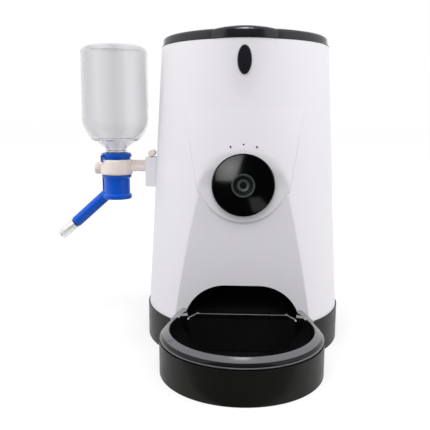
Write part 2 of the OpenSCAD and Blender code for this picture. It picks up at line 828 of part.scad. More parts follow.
module food_hopper() {
    color("#f1f1f2") difference() {
        union() {
            hopper_solid(0, drum_z1, hopper_z1);
            intersection() {
                translate([0, 0, hopper_z1 - flange_t])
                    cylinder(r = body_r(body_z1) - body_wall - fit, h = flange_t);
                box([-reach, -hopper_flat, 0], [reach, reach, 2 * reach]);
            }
        }
        hopper_solid(hopper_wall, drum_z1 + hopper_floor_t, hopper_z1 + past);
        rotate(180) sector(shaft_d, drum_d / 2 - 3 * drum_wall, 80, drum_z1 - past, drum_z1 + past);
        translate([0, 0, drum_z1 - past]) cylinder(r = shaft_d / 2 + clear, h = 2 * past);
    }
}

// Drive
gear_z1 = drum_z0 - 5;
gear_z0 = gear_z1 - gear_w;
gear_gap = gear_module * (gear_teeth + pinion_teeth) / 2;
motor_z1 = gear_z0 - 4;
plate_t = 2;
standoff_d = 7;
standoff_spots = [for (s = [-1, 1]) [s * (motor_d / 2 + standoff_d / 2 + 1), gear_gap + 6]];

module motor_bracket() {
    half_w = motor_d / 2 + standoff_d + 2;
    color("#a9adb2") difference() {
        union() {
            box([-half_w, gear_gap - motor_d / 3, motor_z1],
                [half_w, gear_gap + motor_d / 3, motor_z1 + plate_t]);
            for (s = standoff_spots) translate([s[0], s[1], motor_z1])
                cylinder(d = standoff_d, h = drum_z0 - motor_z1 - seat);
        }
        translate([0, gear_gap, motor_z1 - past]) cylinder(d = motor_shaft_d + 4, h = plate_t + 2 * past);
        for (s = standoff_spots) translate([s[0], s[1], motor_z1 - past])
            cylinder(d = screw_d + 2 * seat, h = drum_z0);
    }
}

module gear_motor() {
    box_l = motor_l * 0.4;
    color("#7f858b") translate([0, gear_gap, motor_z1 - seat]) rotate([180, 0, 0]) {
        cylinder(d = motor_d, h = box_l);
        translate([0, 0, box_l]) cylinder(d = motor_d - 4, h = motor_l - box_l - 2);
        translate([0, 0, motor_l - 2]) cylinder(d = 10, h = 2);
        for (s = [-1, 1]) translate([s * 8 - 1, -1.5, motor_l - 2]) cube([2, 3, 5]);
    }
}

module motor_screws() {
    color("#8d9094") for (s = standoff_spots) translate([s[0], s[1], motor_z1])
        screw(screw_d, drum_z0 - motor_z1 + base_wall - 0.6, screw_head_d, screw_head_h);
}

rotor_gap = 1.2;
rotor_z0 = drum_z0 + base_wall + rotor_gap;
rotor_z1 = drum_z1 - rotor_gap;
rotor_r = drum_d / 2 - drum_wall - rotor_gap;
hub_d = shaft_d + 12;
shaft_top_z = drum_z1 + 34;

module rotor() {
    color("#3f7d8c") difference() {
        union() {
            translate([0, 0, rotor_z0]) cylinder(d = hub_d, h = rotor_z1 - rotor_z0);
            for (i = [0:vane_count - 1]) rotate(360 * (i + 0.5) / vane_count)
                box([hub_d / 2 - 2, -vane_t / 2, rotor_z0], [rotor_r, vane_t / 2, rotor_z1]);
        }
        translate([0, 0, rotor_z0 - past])
            cylinder(d = shaft_d + 2 * seat, h = rotor_z1 - rotor_z0 + 2 * past);
    }
}

module rotor_shaft() {
    stir_l = drum_d / 4;
    color("#c4c7ca") {
        translate([0, 0, gear_z0]) cylinder(d = shaft_d, h = shaft_top_z - gear_z0);
        along_x(shaft_d / 4, -stir_l, stir_l, 0, shaft_top_z - shaft_d);
    }
}

module drive_gear() {
    color("#e3e0d4") difference() {
        union() {
            translate([0, 0, gear_z0]) linear_extrude(gear_w) gear_outline(gear_teeth);
            translate([0, 0, gear_z1]) cylinder(d = shaft_d + 6, h = 2);
        }
        translate([0, 0, gear_z0 - past]) cylinder(d = shaft_d + 2 * seat, h = gear_w + 3 * past);
    }
}

module motor_pinion() {
    color("#d2b26a") translate([0, gear_gap, 0]) {
        translate([0, 0, gear_z0 - 1]) rotate(90 + 180 / pinion_teeth)
            linear_extrude(gear_w + 2) gear_outline(pinion_teeth);
        translate([0, 0, motor_z1 + fit]) cylinder(d = motor_shaft_d, h = gear_z0 - motor_z1 - fit);
    }
}

// Lid
lid_r = body_top_d / 2 + lid_lip;
button_flange_t = 2;
button_flange = 2;
flange_y = -(body_r(button_z + button_h / 2 + button_flange) - body_wall) + fit + 2 * seat;
catch_y = flange_y + button_flange_t + button_travel + 2 * fit;
seal_r = hopper_d / 2 - 1;
seal_w = 5;
catch_t = 2.5;
catch_lip = 2;
catch_w = 8;
catch_z = button_z + 8;

module lid_top(inset) {
    top = lid_z1 - inset;
    low = inset > 0 ? lid_z0 - past : lid_z0;
    crown_r = (pow(lid_r, 2) + pow(lid_crown, 2)) / (2 * lid_crown);
    edge_r = 3;
    r = lid_r - inset;
    intersection() {
        rotate_extrude($fn = 180) {
            translate([0, low]) square([r, top - low - edge_r]);
            square([r - edge_r, top + lid_crown]);
            translate([r - edge_r, top - edge_r]) circle(edge_r, $fn = 48);
        }
        translate([0, 0, top + lid_crown - crown_r]) sphere(crown_r, $fn = 180);
        translate([0, 0, low]) cylinder(r = 2 * lid_r, h = 2 * lid_h + past);
    }
}

module lid_tab() {
    intersection() {
        spine(lid_lip, lid_z0, lid_z1 + tab_rise);
        box([-reach, -reach, 0], [reach, -body_top_d / 2 + 9, 2 * reach]);
    }
}

module lid() {
    rib_r = seal_r - seal_w / 2;
    rib_t = 2.4;
    running = 0.06;
    color("#232127") difference() {
        union() {
            difference() {
                union() {
                    lid_top(0);
                    lid_tab();
                }
                lid_top(lid_wall);
            }
            ring(rib_r + rib_t / 2, rib_r - rib_t / 2, body_z1 + fit, lid_z1 - lid_wall / 2);
            // Catch that drops behind the button
            box([-catch_w / 2, catch_y, catch_z], [catch_w / 2, catch_y + catch_t, lid_z1 - lid_wall / 2]);
            box([-catch_w / 2, catch_y, catch_z],
                [catch_w / 2, catch_y + catch_t + catch_lip, catch_z + catch_t]);
            along_x(knuckle_d / 2, -knuckle_w / 2, knuckle_w / 2, hinge_y, hinge_z);
            box([-knuckle_w / 2, lid_r - lid_wall, hinge_z],
                [knuckle_w / 2, hinge_y, hinge_z + knuckle_d / 2]);
        }
        along_x(hinge_pin_d / 2 + running, -reach, reach, hinge_y, hinge_z);
    }
}

module lid_seal() {
    color("#9a9a9c") difference() {
        ring(seal_r, seal_r - seal_w, hopper_z1 + fit, body_z1 + fit - seat);
        box([-catch_w, -reach, 0], [catch_w, 0, 2 * reach]);
    }
}

// Release button
button_front = button_y - button_proud;
latch_y = catch_y + catch_t + catch_lip + fit;
latch_t = 3;
stem_w = 8;
stem_z0 = button_z - 5;
stem_z1 = catch_z - clear;
spring_l = 9;
guide_y = latch_y + latch_t + spring_l + 2 * seat;
guide_plate = 2.5;
hopper_flat = -(guide_y + guide_plate) - hopper_front_gap;

module release_button() {
    color("#212025") {
        prism_y(button_front, flange_y + 0.1) translate([0, button_z]) oval(button_w, button_h);
        prism_y(flange_y, flange_y + button_flange_t) translate([0, button_z])
            oval(button_w + 2 * button_flange, button_h + 2 * button_flange);
        box([-stem_w / 2, flange_y + 1, stem_z0], [stem_w / 2, latch_y + latch_t, stem_z1]);
        box([-stem_w / 2, latch_y, stem_z1 - 1], [stem_w / 2, latch_y + latch_t, catch_z + 9]);
    }
}

module button_spring() {
    color("#b9bcc0") translate([0, latch_y + latch_t + seat, button_z]) rotate([-90, 0, 0])
        spring(3, 0.7, spring_l, 6);
}

// A cradle whose two arms stand on the inside of the body, beside the button
module latch_guide() {
    arm_x = button_w / 2 + button_flange + fit;
    low = stem_z0 - fit - guide_plate;
    color("#d9d8dc") intersection() {
        union() {
            both_sides() box([arm_x, -reach, low], [arm_x + guide_plate, guide_y + guide_plate, stem_z1 - 2]);
            box([-arm_x - 1, catch_y, low], [arm_x + 1, guide_y + guide_plate, stem_z0 - fit]);
            box([-arm_x - 1, guide_y, low], [arm_x + 1, guide_y + guide_plate, stem_z1 - 2]);
        }
        body_cone(body_wall + seat, 0);
        box([-reach, -reach, 0], [reach, 0, 2 * reach]);
    }
}

// Bottle bracket and its socket
socket_z0 = deck_z + socket_rise;
socket_z1 = socket_z0 + socket_h;
socket_x = -(body_r(socket_z0) + socket_t);
socket_wall = 2.6;
tail_x = socket_x + socket_wall + fit;
arm_z0 = socket_z0 + arm_rise;
arm_z1 = arm_z0 + arm_h;
ring_z0 = arm_z0 - 4.5;
ring_z1 = ring_z0 + ring_h;
groove_r = collar_d / 2 - 2;
ring_r_in = groove_r + fit;
ring_r_out = ring_r_in + ring_wall;
tail_z0 = socket_z0 + socket_wall + fit;
tail_z1 = socket_z1 + 5;
knob_d = 8;
socket_screw_y = socket_w / 2 - 2.6;
socket_screw_z = socket_z0 + 7;
socket_screw_spots = [for (s = [-1, 1]) [s * socket_screw_y, socket_screw_z]];
clamp_x = -bottle_reach - ring_r_out - 4;
clamp_z = (ring_z0 + ring_z1) / 2 - 1.5;
clamp_screw_d = 3;

module bracket_socket() {
    color("#e4e2e6") difference() {
        box([socket_x, -socket_w / 2, socket_z0], [-body_r(socket_z1) / 2, socket_w / 2, socket_z1]);
        body_cone(-seat, 0);
        box([tail_x - fit, -tail_w / 2 - fit, tail_z0 - fit],
            [tail_x + tail_t + fit, tail_w / 2 + fit, 2 * reach]);
        box([socket_x - past, -arm_w / 2 - fit, arm_z0 - fit], [tail_x, arm_w / 2 + fit, 2 * reach]);
        for (s = socket_screw_spots) along_x(screw_d / 2 + seat, socket_x + 4, 0, s[0], s[1]);
    }
}

// Screws through the body wall, with their heads on its curved inside
module socket_screws() {
    head_r = screw_head_d / 2;
    inside_r = body_r(socket_screw_z + head_r) - body_wall;
    head_x = -sqrt(pow(inside_r, 2) - pow(socket_screw_y + head_r, 2)) + seat;
    color("#8d9094") for (s = socket_screw_spots) translate([head_x, s[0], s[1]])
        rotate([0, -90, 0]) screw(screw_d, body_wall + 6, screw_head_d, screw_head_h);
}

module bottle_bracket() {
    split = 3;
    ear_t = 4.5;
    ear_z0 = ring_z0 + 1;
    ear_z1 = ring_z1 - 4;
    ear_r = 4;
    color("#e0d5cf") difference() {
        union() {
            translate([-bottle_reach, 0, 0]) ring(ring_r_out, ring_r_in, ring_z0, ring_z1);
            // Ears of the split ring
            difference() {
                box([clamp_x - ear_r, -split / 2 - ear_t, ear_z0],
                    [-bottle_reach - ring_r_in - 1, split / 2 + ear_t, ear_z1]);
                translate([-bottle_reach, 0, 0]) cylinder(r = ring_r_in + 1, h = 2 * reach);
            }
            // Arm: a bar with a rib on top
            difference() {
                union() {
                    box([-bottle_reach, -arm_w / 2, arm_z0], [tail_x + 0.5, arm_w / 2, arm_z0 + arm_h / 2]);
                    box([-bottle_reach, -arm_w / 4, arm_z0], [tail_x + 0.5, arm_w / 4, arm_z1]);
                }
                translate([-bottle_reach, 0, 0]) cylinder(r = ring_r_in + 1, h = 2 * reach);
            }
            box([tail_x, -tail_w / 2, tail_z0], [tail_x + tail_t, tail_w / 2, tail_z1]);
            along_y(knob_d / 2, -tail_w / 2, tail_w / 2, tail_x + knob_d / 2, tail_z1);
        }
        box([-bottle_reach - 2 * ring_r_out, -split / 2, 0], [-bottle_reach, split / 2, 2 * reach]);
        along_y(clamp_screw_d / 2 + seat, -reach, reach, clamp_x, clamp_z);
    }
}

module clamp_screw() {
    half = 6;
    head_d = 5.6;
    head_h = 1.8;
    color("#b9bcc0") {
        along_y(clamp_screw_d / 2, -half - head_h / 2, half + 1, clamp_x, clamp_z);
        along_y(head_d / 2, -half - head_h, -half - seat, clamp_x, clamp_z);
        translate([clamp_x, half + seat, clamp_z]) rotate([-90, 0, 0]) difference() {
            cylinder(d = head_d, h = head_h + 0.4, $fn = 6);
            translate([0, 0, -1]) cylinder(d = clamp_screw_d - seat, h = 5);
        }
    }
}

// Valve
collar_z0 = ring_z1 + fit;
collar_z1 = collar_z0 + collar_h;
flange_z1 = ring_z0 - fit;
valve_z0 = ring_z0 - valve_l;
socket_r = neck_d / 2 + thread_depth + 0.5;
seal_z0 = collar_z1 - 21.5;
seal_t = 1.5;
chamber_r = neck_d / 2 - 1;
chamber_z0 = valve_z0 + 5;
spout_z = ring_z0 - 15.5;
spout_bore = spout_d / 2 - 2;
stem_r = spout_bore - seat;
stem_l = 12;
ball_bore = ball_d / 2 + 0.25;
tip_lip = 1.2;
tip_bore = ball_d / 2 - 0.8;
thread_w = 0.9;
thread_root_w = 1.5;
thread_turns = 1.5;
thread_z0 = seal_z0 + seal_t + 3;
thread_sink = 0.3;

module on_bottle_axis() {
    translate([-bottle_reach, 0, 0]) children();
}

// Places a shape drawn up its Z axis along the spout, from the bottle axis outwards
module on_spout() {
    translate([-bottle_reach, 0, spout_z]) rotate([0, -90 - spout_angle, 0]) children();
}

module valve_body() {
    r = valve_d / 2;
    flange_r = collar_d / 2;
    color("#1b54be") on_bottle_axis() {
        difference() {
            union() {
                rotate_extrude() polygon(concat([[0, valve_z0], [flange_r - 2, valve_z0]],
                    arc([flange_r - 2, valve_z0 + 2], 2, -90, 0, 4),
                    [[flange_r, valve_z0 + 5], [r, valve_z0 + 6.5], [r, flange_z1 - 4.5],
                    [flange_r, flange_z1 - 3], [flange_r, flange_z1], [groove_r, flange_z1],
                    [groove_r, collar_z0], [flange_r, collar_z0], [flange_r, collar_z1 - 1],
                    [flange_r - 1, collar_z1], [0, collar_z1]]));
                translate([bottle_reach, 0, 0]) on_spout() cylinder(d = spout_d, h = spout_l);
                // Rib between the valve body and the spout
                box([-r - 2, -2.4, valve_z0 + 4], [-r + 2, 2.4, flange_z1 - 1]);
            }
            translate([0, 0, seal_z0]) cylinder(r = socket_r, h = reach);
            translate([0, 0, chamber_z0]) cylinder(r = chamber_r, h = reach);
            translate([bottle_reach, 0, 0]) on_spout() cylinder(r = spout_bore, h = spout_l + past);
        }
        translate([0, 0, thread_z0 + thread_pitch / 2 + thread_pitch]) helix(
            [[socket_r - thread_depth + 0.1, -thread_w / 2], [socket_r + thread_sink, -thread_root_w / 2],
            [socket_r + thread_sink, thread_root_w / 2], [socket_r - thread_depth + 0.1, thread_w / 2]],
            thread_pitch, thread_turns, 24);
    }
}

module nozzle_tube() {
    bevel = 1;
    color("#c6c7c2") on_spout() translate([0, 0, spout_l]) rotate_extrude() difference() {
        polygon([[0, -stem_l], [stem_r, -stem_l], [stem_r, seat], [nozzle_d / 2, seat],
            [nozzle_d / 2, nozzle_l - bevel], [nozzle_d / 2 - bevel, nozzle_l], [0, nozzle_l]]);
        polygon([[0, -stem_l - 1], [stem_r - 1.2, -stem_l - 1], [stem_r - 1.2, 4], [ball_bore, 4],
            [ball_bore, nozzle_l - tip_lip], [tip_bore, nozzle_l - tip_lip], [tip_bore, nozzle_l + 1],
            [0, nozzle_l + 1]]);
    }
}

ball_s = spout_l + nozzle_l - tip_lip - sqrt(pow(ball_d / 2 + seat, 2) - pow(tip_bore, 2));
ball_spring_s = spout_l + 4 + seat;

module nozzle_ball() {
    color("#d8d9da") on_spout() translate([0, 0, ball_s]) sphere(d = ball_d);
}

module nozzle_spring() {
    color("#b9bcc0") on_spout() translate([0, 0, ball_spring_s])
        spring(ball_d / 2 - 1, 0.6, ball_s - ball_d / 2 - ball_spring_s + 0.9, 7);
}

module neck_seal() {
    color("#f4f4f4") on_bottle_axis() ring(socket_r - fit, chamber_r - 1, seal_z0 + seat, seal_z0 + seal_t);
}

// Bottle
mouth_end_z = seal_z0 + seal_t + 2 * seat;
neck_top_z = mouth_end_z + neck_l;
bottle_top_z = neck_top_z + bottle_h;

function bottle_outline(t) =
    let (r = bottle_d / 2 - t, turn = 90 - shoulder_slope, rs = shoulder_r - t, rc = bottle_corner_r - t,
        drop = (bottle_d / 2 - shoulder_r * (1 - cos(turn)) - neck_d / 2) * tan(shoulder_slope),
        shoulder_z = neck_top_z + drop + shoulder_r * sin(turn),
        arc_end = [bottle_d / 2 - shoulder_r + rs * cos(turn), shoulder_z - rs * sin(turn)],
        neck_r = neck_d / 2 - t)
    concat([[0, mouth_end_z - (t > 0 ? past : 0)], [neck_r, mouth_end_z - (t > 0 ? past : 0)],
        [neck_r, arc_end[1] - (arc_end[0] - neck_r) * tan(shoulder_slope)]],
        arc([bottle_d / 2 - shoulder_r, shoulder_z], rs, -turn, 0, 8),
        arc([bottle_d / 2 - bottle_corner_r, bottle_top_z - bottle_corner_r], rc, 0, 90, 8),
        [[0, bottle_top_z - t]]);

module water_bottle() {
    bead_h = 3;
    color("#d8dade") on_bottle_axis() {
        rotate_extrude() difference() {
            union() {
                polygon(bottle_outline(0));
                // Bead on the neck above the valve
                translate([neck_d / 2 - 1, collar_z1 + 1]) square([1.9, bead_h]);
            }
            polygon(bottle_outline(bottle_wall));
        }
        translate([0, 0, thread_z0]) helix(
            [[neck_d / 2 - thread_sink, -thread_root_w / 2], [neck_d / 2 + thread_depth - 0.1, -thread_w / 2],
            [neck_d / 2 + thread_depth - 0.1, thread_w / 2], [neck_d / 2 - thread_sink, thread_root_w / 2]],
            thread_pitch, thread_turns, 24);
    }
}

// Bowl
bowl_z0 = holder_floor_z + fit;
bowl_z1 = bowl_z0 + bowl_h;
rim_drop = 4.5;
rim_skirt = 5;

// Outline of the bowl's half section: outside down from the crest, then inside back up
function bowl_outside() =
    let (c = bowl_crest_d / 2, o = bowl_rim_d / 2, wall_r = c + 1.2)
    [[bowl_floor_d / 2, bowl_z0], [wall_r - 1.5, holder_z - 1], [wall_r, bowl_z1 - rim_drop],
        [o - 1 - bowl_wall, bowl_z1 - rim_drop - 1.6], [o - bowl_wall, bowl_z1 - rim_drop - rim_skirt],
        [o, bowl_z1 - rim_drop - rim_skirt], [o - 1, bowl_z1 - rim_drop], [c, bowl_z1]];
function bowl_inside() = let (c = bowl_crest_d / 2)
    [[c, bowl_z1], [c - 2.3, holder_z - 1], [bowl_floor_d / 2 - bowl_wall, bowl_z0 + bowl_wall]];

module bowl_half() {
    box([-reach, -2 * reach, 0], [reach, bowl_cut_y, reach]);
}

// The tongue's plan, drawn in by a wall where wanted
module tongue_plan(inset) {
    front_w = mouth_w - 8;
    polygon([[-front_w / 2 + inset, bowl_cut_y - 2 * bowl_wall],
        [front_w / 2 - inset, bowl_cut_y - 2 * bowl_wall],
        [front_w / 2 - inset, bowl_cut_y], [tongue_w / 2 - inset, tongue_y - inset],
        [-tongue_w / 2 + inset, tongue_y - inset], [-front_w / 2 + inset, bowl_cut_y]]);
}

// The space above the tongue's sloping floor, raised by a wall where wanted
module above_slope(rise) {
    low = [bowl_cut_y - 3 * bowl_wall, bowl_z0 + rise];
    high = [tongue_y, bowl_z1 - rim_drop - 2 * bowl_wall + rise];
    prism_x(reach)
        polygon([low, high, [high[0] + reach, high[1]], [high[0] + reach, reach], [low[0], reach]]);
}

module food_bowl() {
    lip_z = bowl_z1 - rim_drop;
    ear_top = bowl_z1 + 7;
    color("#6d6d70") {
        difference() {
            union() {
                intersection() {
                    rotate_bowl() polygon(concat(bowl_outside(), bowl_inside(),
                        [[0, bowl_z0 + bowl_wall], [0, bowl_z0]]));
                    bowl_half();
                }
                // Rear wall of the dish beside the tongue
                intersection() {
                    rotate_bowl() polygon(concat([[0, bowl_z0]], bowl_outside(), [[0, bowl_z1]]));
                    box([-reach, bowl_cut_y - bowl_wall, 0], [reach, bowl_cut_y, lip_z]);
                }
                intersection() {
                    translate([0, 0, bowl_z0]) linear_extrude(lip_z - bowl_z0) tongue_plan(0);
                    above_slope(0);
                }
                // Ears that close the corners of the mouth
                both_sides() prism_y(bowl_cut_y - bowl_wall, bowl_cut_y)
                    polygon([[mouth_w / 2 - 5, lip_z - 3], [bowl_crest_d / 2 + 1, lip_z - 3],
                    [bowl_crest_d / 2 - 2, bowl_z1], [mouth_w / 2 + 4, ear_top - 1],
                    [mouth_w / 2 + 1, ear_top], [mouth_w / 2 - 2, ear_top], [mouth_w / 2 - 5, lip_z]]);
            }
            intersection() {
                translate([0, 0, bowl_z0 + bowl_wall]) linear_extrude(reach) tongue_plan(bowl_wall);
                above_slope(1.6 * bowl_wall);
            }
        }
    }
}

module rotate_bowl() {
    translate([0, -holder_reach, 0]) rotate_extrude($fn = 128) children();
}

base_tray();
bottom_cover();
rubber_feet();
cover_screws();
body_screws();
drum_screws();
power_inlet();
outer_body();
lid_hinge_pin();
latch_guide();
camera_window();
lens_barrel();
lens_glass();
camera_board();
indicator_windows();
main_board();
food_chute();
metering_drum();
shaft_bush();
food_hopper();
motor_bracket();
gear_motor();
motor_screws();
bracket_socket();
socket_screws();
lid();
lid_seal();
release_button();
button_spring();
rotor();
rotor_shaft();
drive_gear();
motor_pinion();
food_bowl();
bottle_bracket();
clamp_screw();
valve_body();
nozzle_tube();
neck_seal();
water_bottle();
nozzle_ball();
nozzle_spring();
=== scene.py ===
"""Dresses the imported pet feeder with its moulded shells, bowl, bottle, valve, camera and finishes."""
import json
import math

import bmesh
import bpy
from bpy.props import FloatProperty, FloatVectorProperty, PointerProperty
from bpy.types import Operator, Panel, PropertyGroup
from mathutils import Matrix, Vector

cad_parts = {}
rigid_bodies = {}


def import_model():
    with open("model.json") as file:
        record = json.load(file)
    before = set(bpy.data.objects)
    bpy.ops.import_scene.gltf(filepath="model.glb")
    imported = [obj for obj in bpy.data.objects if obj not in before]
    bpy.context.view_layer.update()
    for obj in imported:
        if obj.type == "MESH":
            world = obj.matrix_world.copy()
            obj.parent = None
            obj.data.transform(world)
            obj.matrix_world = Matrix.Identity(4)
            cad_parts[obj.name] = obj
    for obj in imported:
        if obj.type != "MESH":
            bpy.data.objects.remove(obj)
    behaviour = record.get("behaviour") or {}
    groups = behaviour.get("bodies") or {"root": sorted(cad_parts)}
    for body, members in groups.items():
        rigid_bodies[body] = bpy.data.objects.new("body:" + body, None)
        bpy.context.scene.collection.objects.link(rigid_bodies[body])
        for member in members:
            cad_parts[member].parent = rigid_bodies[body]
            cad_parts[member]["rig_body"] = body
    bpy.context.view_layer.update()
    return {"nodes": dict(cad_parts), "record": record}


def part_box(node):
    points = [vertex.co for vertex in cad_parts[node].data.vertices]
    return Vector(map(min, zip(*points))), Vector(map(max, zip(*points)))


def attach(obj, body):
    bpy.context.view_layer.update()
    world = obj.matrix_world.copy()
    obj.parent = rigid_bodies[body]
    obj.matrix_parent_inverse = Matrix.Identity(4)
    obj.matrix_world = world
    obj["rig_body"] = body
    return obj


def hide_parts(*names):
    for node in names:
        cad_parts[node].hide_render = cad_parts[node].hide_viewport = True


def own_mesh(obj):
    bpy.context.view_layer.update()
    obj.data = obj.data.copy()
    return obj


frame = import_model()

bl_info = {
    "name": "Pet feeder finish",
    "version": (1, 0, 0),
    "blender": (4, 5, 0),
    "location": "3D View > Sidebar > Feeder",
    "description": "Builds the dressed pieces of the pet feeder on its packed frame",
    "category": "Object",
}

MM = 0.001
FULL = 2 * math.pi
SLOT_OF = {part["node"]: part["material_slot"] for part in frame["record"]["subparts"]}

# In millimetres: the button's oval, the lid's hinge, how far tools reach that cut in from the front, and how
# near two points are that count as one
BUTTON_Z = 330.3
BUTTON_HALF_W = 7.25
BUTTON_HALF_H = 14.5
HINGE_Y = 106
HINGE_Z = 358.8
KNUCKLE_R = 4.5
CLEAR_Y = -140
INNER_Y = -60
NEAR = 0.01


def linear(code):
    """Turns an sRGB hex colour to linear RGBA."""
    parts = [int(code[i:i + 2], 16) / 255 for i in (1, 3, 5)]
    return tuple(c / 12.92 if c <= 0.04045 else ((c + 0.055) / 1.055) ** 2.4 for c in parts) + (1.0,)


def length(name, description, default):
    return FloatProperty(name=name, description=description, default=default, min=0.0, unit="LENGTH",
                         precision=5)


def colour(name, description, code):
    return FloatVectorProperty(name=name, description=description, default=linear(code), size=4,
                               min=0.0, max=1.0, subtype="COLOR")


# Sizes and colours


class FeederBodySizes(PropertyGroup):
    foot_d: length("Foot diameter", "Body's outside diameter where it stands on the base", 0.2366)
    top_d: length("Top diameter", "Body's outside diameter under the lid", 0.1996)
    low_z: length("Foot height", "Height of the body's foot", 0.041)
    high_z: length("Top height", "Height of the body's top edge", 0.3525)
    wall: length("Wall", "Thickness of the moulded wall", 0.0025)
    spine_half: length("Spine half width", "Half the width of the swell under the lid's tab", 0.033)
    spine_low_z: length("Spine foot", "Height where the swell runs out", 0.296)
    spine_proud: length("Spine proud", "How far the swell stands out at the top", 0.0055)
    recess_reach: length("Recess reach", "Distance of the flat front from the axis at the foot", 0.0894)
    recess_bend_z: length("Recess bend height", "Height where the flat front bends outwards", 0.196)
    recess_bend_r: length("Recess bend radius", "Radius of that bend", 0.09)
    recess_tilt: FloatProperty(name="Recess tilt", description="Lean of the flat front", subtype="ANGLE",
                               default=math.radians(3.34))
    brow_low_w: length("Brow low width", "Width of the brow panel beside the camera", 0.1005)
    brow_top_w: length("Brow top width", "Width of the brow panel where it fades out", 0.131)
    brow_low_z: length("Brow low height", "Height where the brow panel starts", 0.191)
    brow_top_z: length("Brow top height", "Height where the brow panel fades out", 0.282)
    brow_groove: length("Brow groove", "Depth of the fine groove along the brow's edge", 0.0007)
    brow_rise: length("Brow rise", "Step of the brow panel at its lower end", 0.0013)
    mouth_w: length("Mouth width", "Width of the food mouth", 0.132)
    mouth_z: length("Mouth height", "Height of the mouth's top edge", 0.0834)
    mouth_arch_r: length("Mouth arch radius", "Radius of the mouth's arched corners", 0.047)
    bezel_d: length("Camera disc diameter", "Diameter of the raised disc round the camera", 0.098)
    bezel_z: length("Camera disc height", "Height of that disc's centre", 0.206)
    bezel_y: length("Camera disc reach", "Distance of the window's seat on it from the axis", 0.0988)


class FeederCameraSizes(PropertyGroup):
    height: length("Camera height", "Height of the camera's axis", 0.1986)
    window_d: length("Window diameter", "Diameter of the black window", 0.0689)
    window_t: length("Window edge", "How far the window's edge stands out of the disc", 0.0042)
    window_crown: length("Window crown", "Rise of the window's dome", 0.004)
    barrel_d: length("Lens ring diameter", "Outside diameter of the lens ring", 0.026)


class FeederLidSizes(PropertyGroup):
    radius: length("Lid radius", "Outside radius of the lid", 0.1002)
    low_z: length("Lid low edge", "Height of the lid's lower edge", 0.3528)
    high_z: length("Lid top edge", "Height of the lid's top at its rim", 0.3632)
    crown: length("Crown", "Rise of the top towards its middle", 0.002)
    wall: length("Wall", "Thickness of the lid", 0.0025)
    edge: length("Edge rounding", "Setback of the rounded top edge", 0.0044)
    tab_rise: length("Tab rise", "How far the tab's middle stands above the rim", 0.0019)
    tab_step: length("Tab step", "Step at the tab's two ends", 0.0006)


class FeederBottleSizes(PropertyGroup):
    axis_x: length("Bottle offset", "Distance of the bottle's axis from the body's, to the left", 0.16)
    body_d: length("Bottle diameter", "Outside diameter of the bottle", 0.0806)
    neck_d: length("Neck diameter", "Outside diameter of the neck", 0.025)
    neck_z: length("Neck mouth", "Height of the neck's open end", 0.2071)
    shoulder_z: length("Neck top", "Height where the neck meets the shoulder", 0.2319)
    top_z: length("Bottle end", "Height of the bottle's closed end", 0.3569)
    wall: length("Wall", "Thickness of the bottle", 0.0012)
    punt: length("Push-up", "Depth of the dished end", 0.0045)
    spread: length("Spread", "How much the radius grows from the closed end to the shoulder", 0.0009)


class FeederValveSizes(PropertyGroup):
    barrel_d: length("Barrel diameter", "Outside diameter of the blue barrel", 0.0326)
    collar_d: length("Collar diameter", "Outside diameter of the collar and the lips", 0.0372)
    spout_d: length("Spout diameter", "Outside diameter of the spout", 0.0144)
    spout_l: length("Spout length", "Length of the spout from the bottle's axis", 0.0728)
    spout_angle: FloatProperty(name="Spout angle", description="How far the spout points below level",
                               subtype="ANGLE", default=math.radians(41.7))
    nozzle_d: length("Nozzle diameter", "Outside diameter of the steel nozzle", 0.0136)
    nozzle_l: length("Nozzle length", "Length of the steel nozzle", 0.0265)
    ball_d: length("Ball diameter", "Diameter of the steel ball", 0.0086)


class FeederBowlSizes(PropertyGroup):
    reach: length("Bowl reach", "Distance of the bowl's centre in front of the axis", 0.126)
    low_z: length("Bowl floor", "Height of the bowl's underside", 0.0053)
    high_z: length("Bowl crest", "Height of the rim's crest", 0.0475)
    lip_z: length("Bowl lip", "Height of the rear lip and of the crest's outer edge", 0.043)
    cut_y: length("Bowl back", "Distance of the bowl's flat back in front of the axis", 0.0914)
    tongue_y: length("Tongue back", "Distance of the tongue's end in front of the axis", 0.0759)
    wall: length("Wall", "Thickness of the bowl", 0.002)


class FeederColours(PropertyGroup):
    white: colour("White shell", "Moulded body", "#e9e7ec")
    black: colour("Black base", "Moulded base", "#1c1c1a")
    lid: colour("Black lid", "Lid and button", "#212126")
    inside: colour("Black inside", "Chute and other black inner parts", "#0b0b0b")
    bowl: colour("Smoked bowl", "Tint of the bowl", "#0e0e0f")
    # The rim's grey is painted light: a lighter copy of the bowl's smoked polystyrene
    rim: colour("Bowl rim", "Satin rim of the bowl", "#74747a")
    window: colour("Camera window", "Black acrylic", "#050506")
    bottle: colour("Bottle", "Clear bottle's tint", "#e9e9eb")
    blue: colour("Blue valve", "Valve and spout", "#0757cc")
    ivory: colour("Ivory bracket", "Clamp ring and arm", "#f9ede6")
    hopper: colour("Hopper", "Inner white parts", "#e4e4e6")
    rotor: colour("Rotor", "Portion rotor", "#3f9c98")


# Finishes


def wire(tree, node, inputs):
    """Sets a node's inputs to values, or links them to other nodes' outputs."""
    for socket, value in inputs.items():
        if isinstance(value, bpy.types.NodeSocket):
            tree.links.new(value, node.inputs[socket])
        else:
            node.inputs[socket].default_value = value


def add(tree, kind, inputs=None, **settings):
    """Adds a node with its settings, and wires its inputs."""
    made = tree.nodes.new(kind)
    for name, value in settings.items():
        setattr(made, name, value)
    wire(tree, made, inputs or {})
    return made


def start_finish(name, tint, values):
    """A material with its Principled shader's plain values set, and the Object coordinates to build on."""
    made = bpy.data.materials.new(name)
    made.use_nodes = True
    tree = made.node_tree
    shader = tree.nodes["Principled BSDF"]
    wire(tree, shader, {"Base Color": tint, **values})
    place = add(tree, "ShaderNodeTexCoord").outputs["Object"]
    return made, tree, shader, place


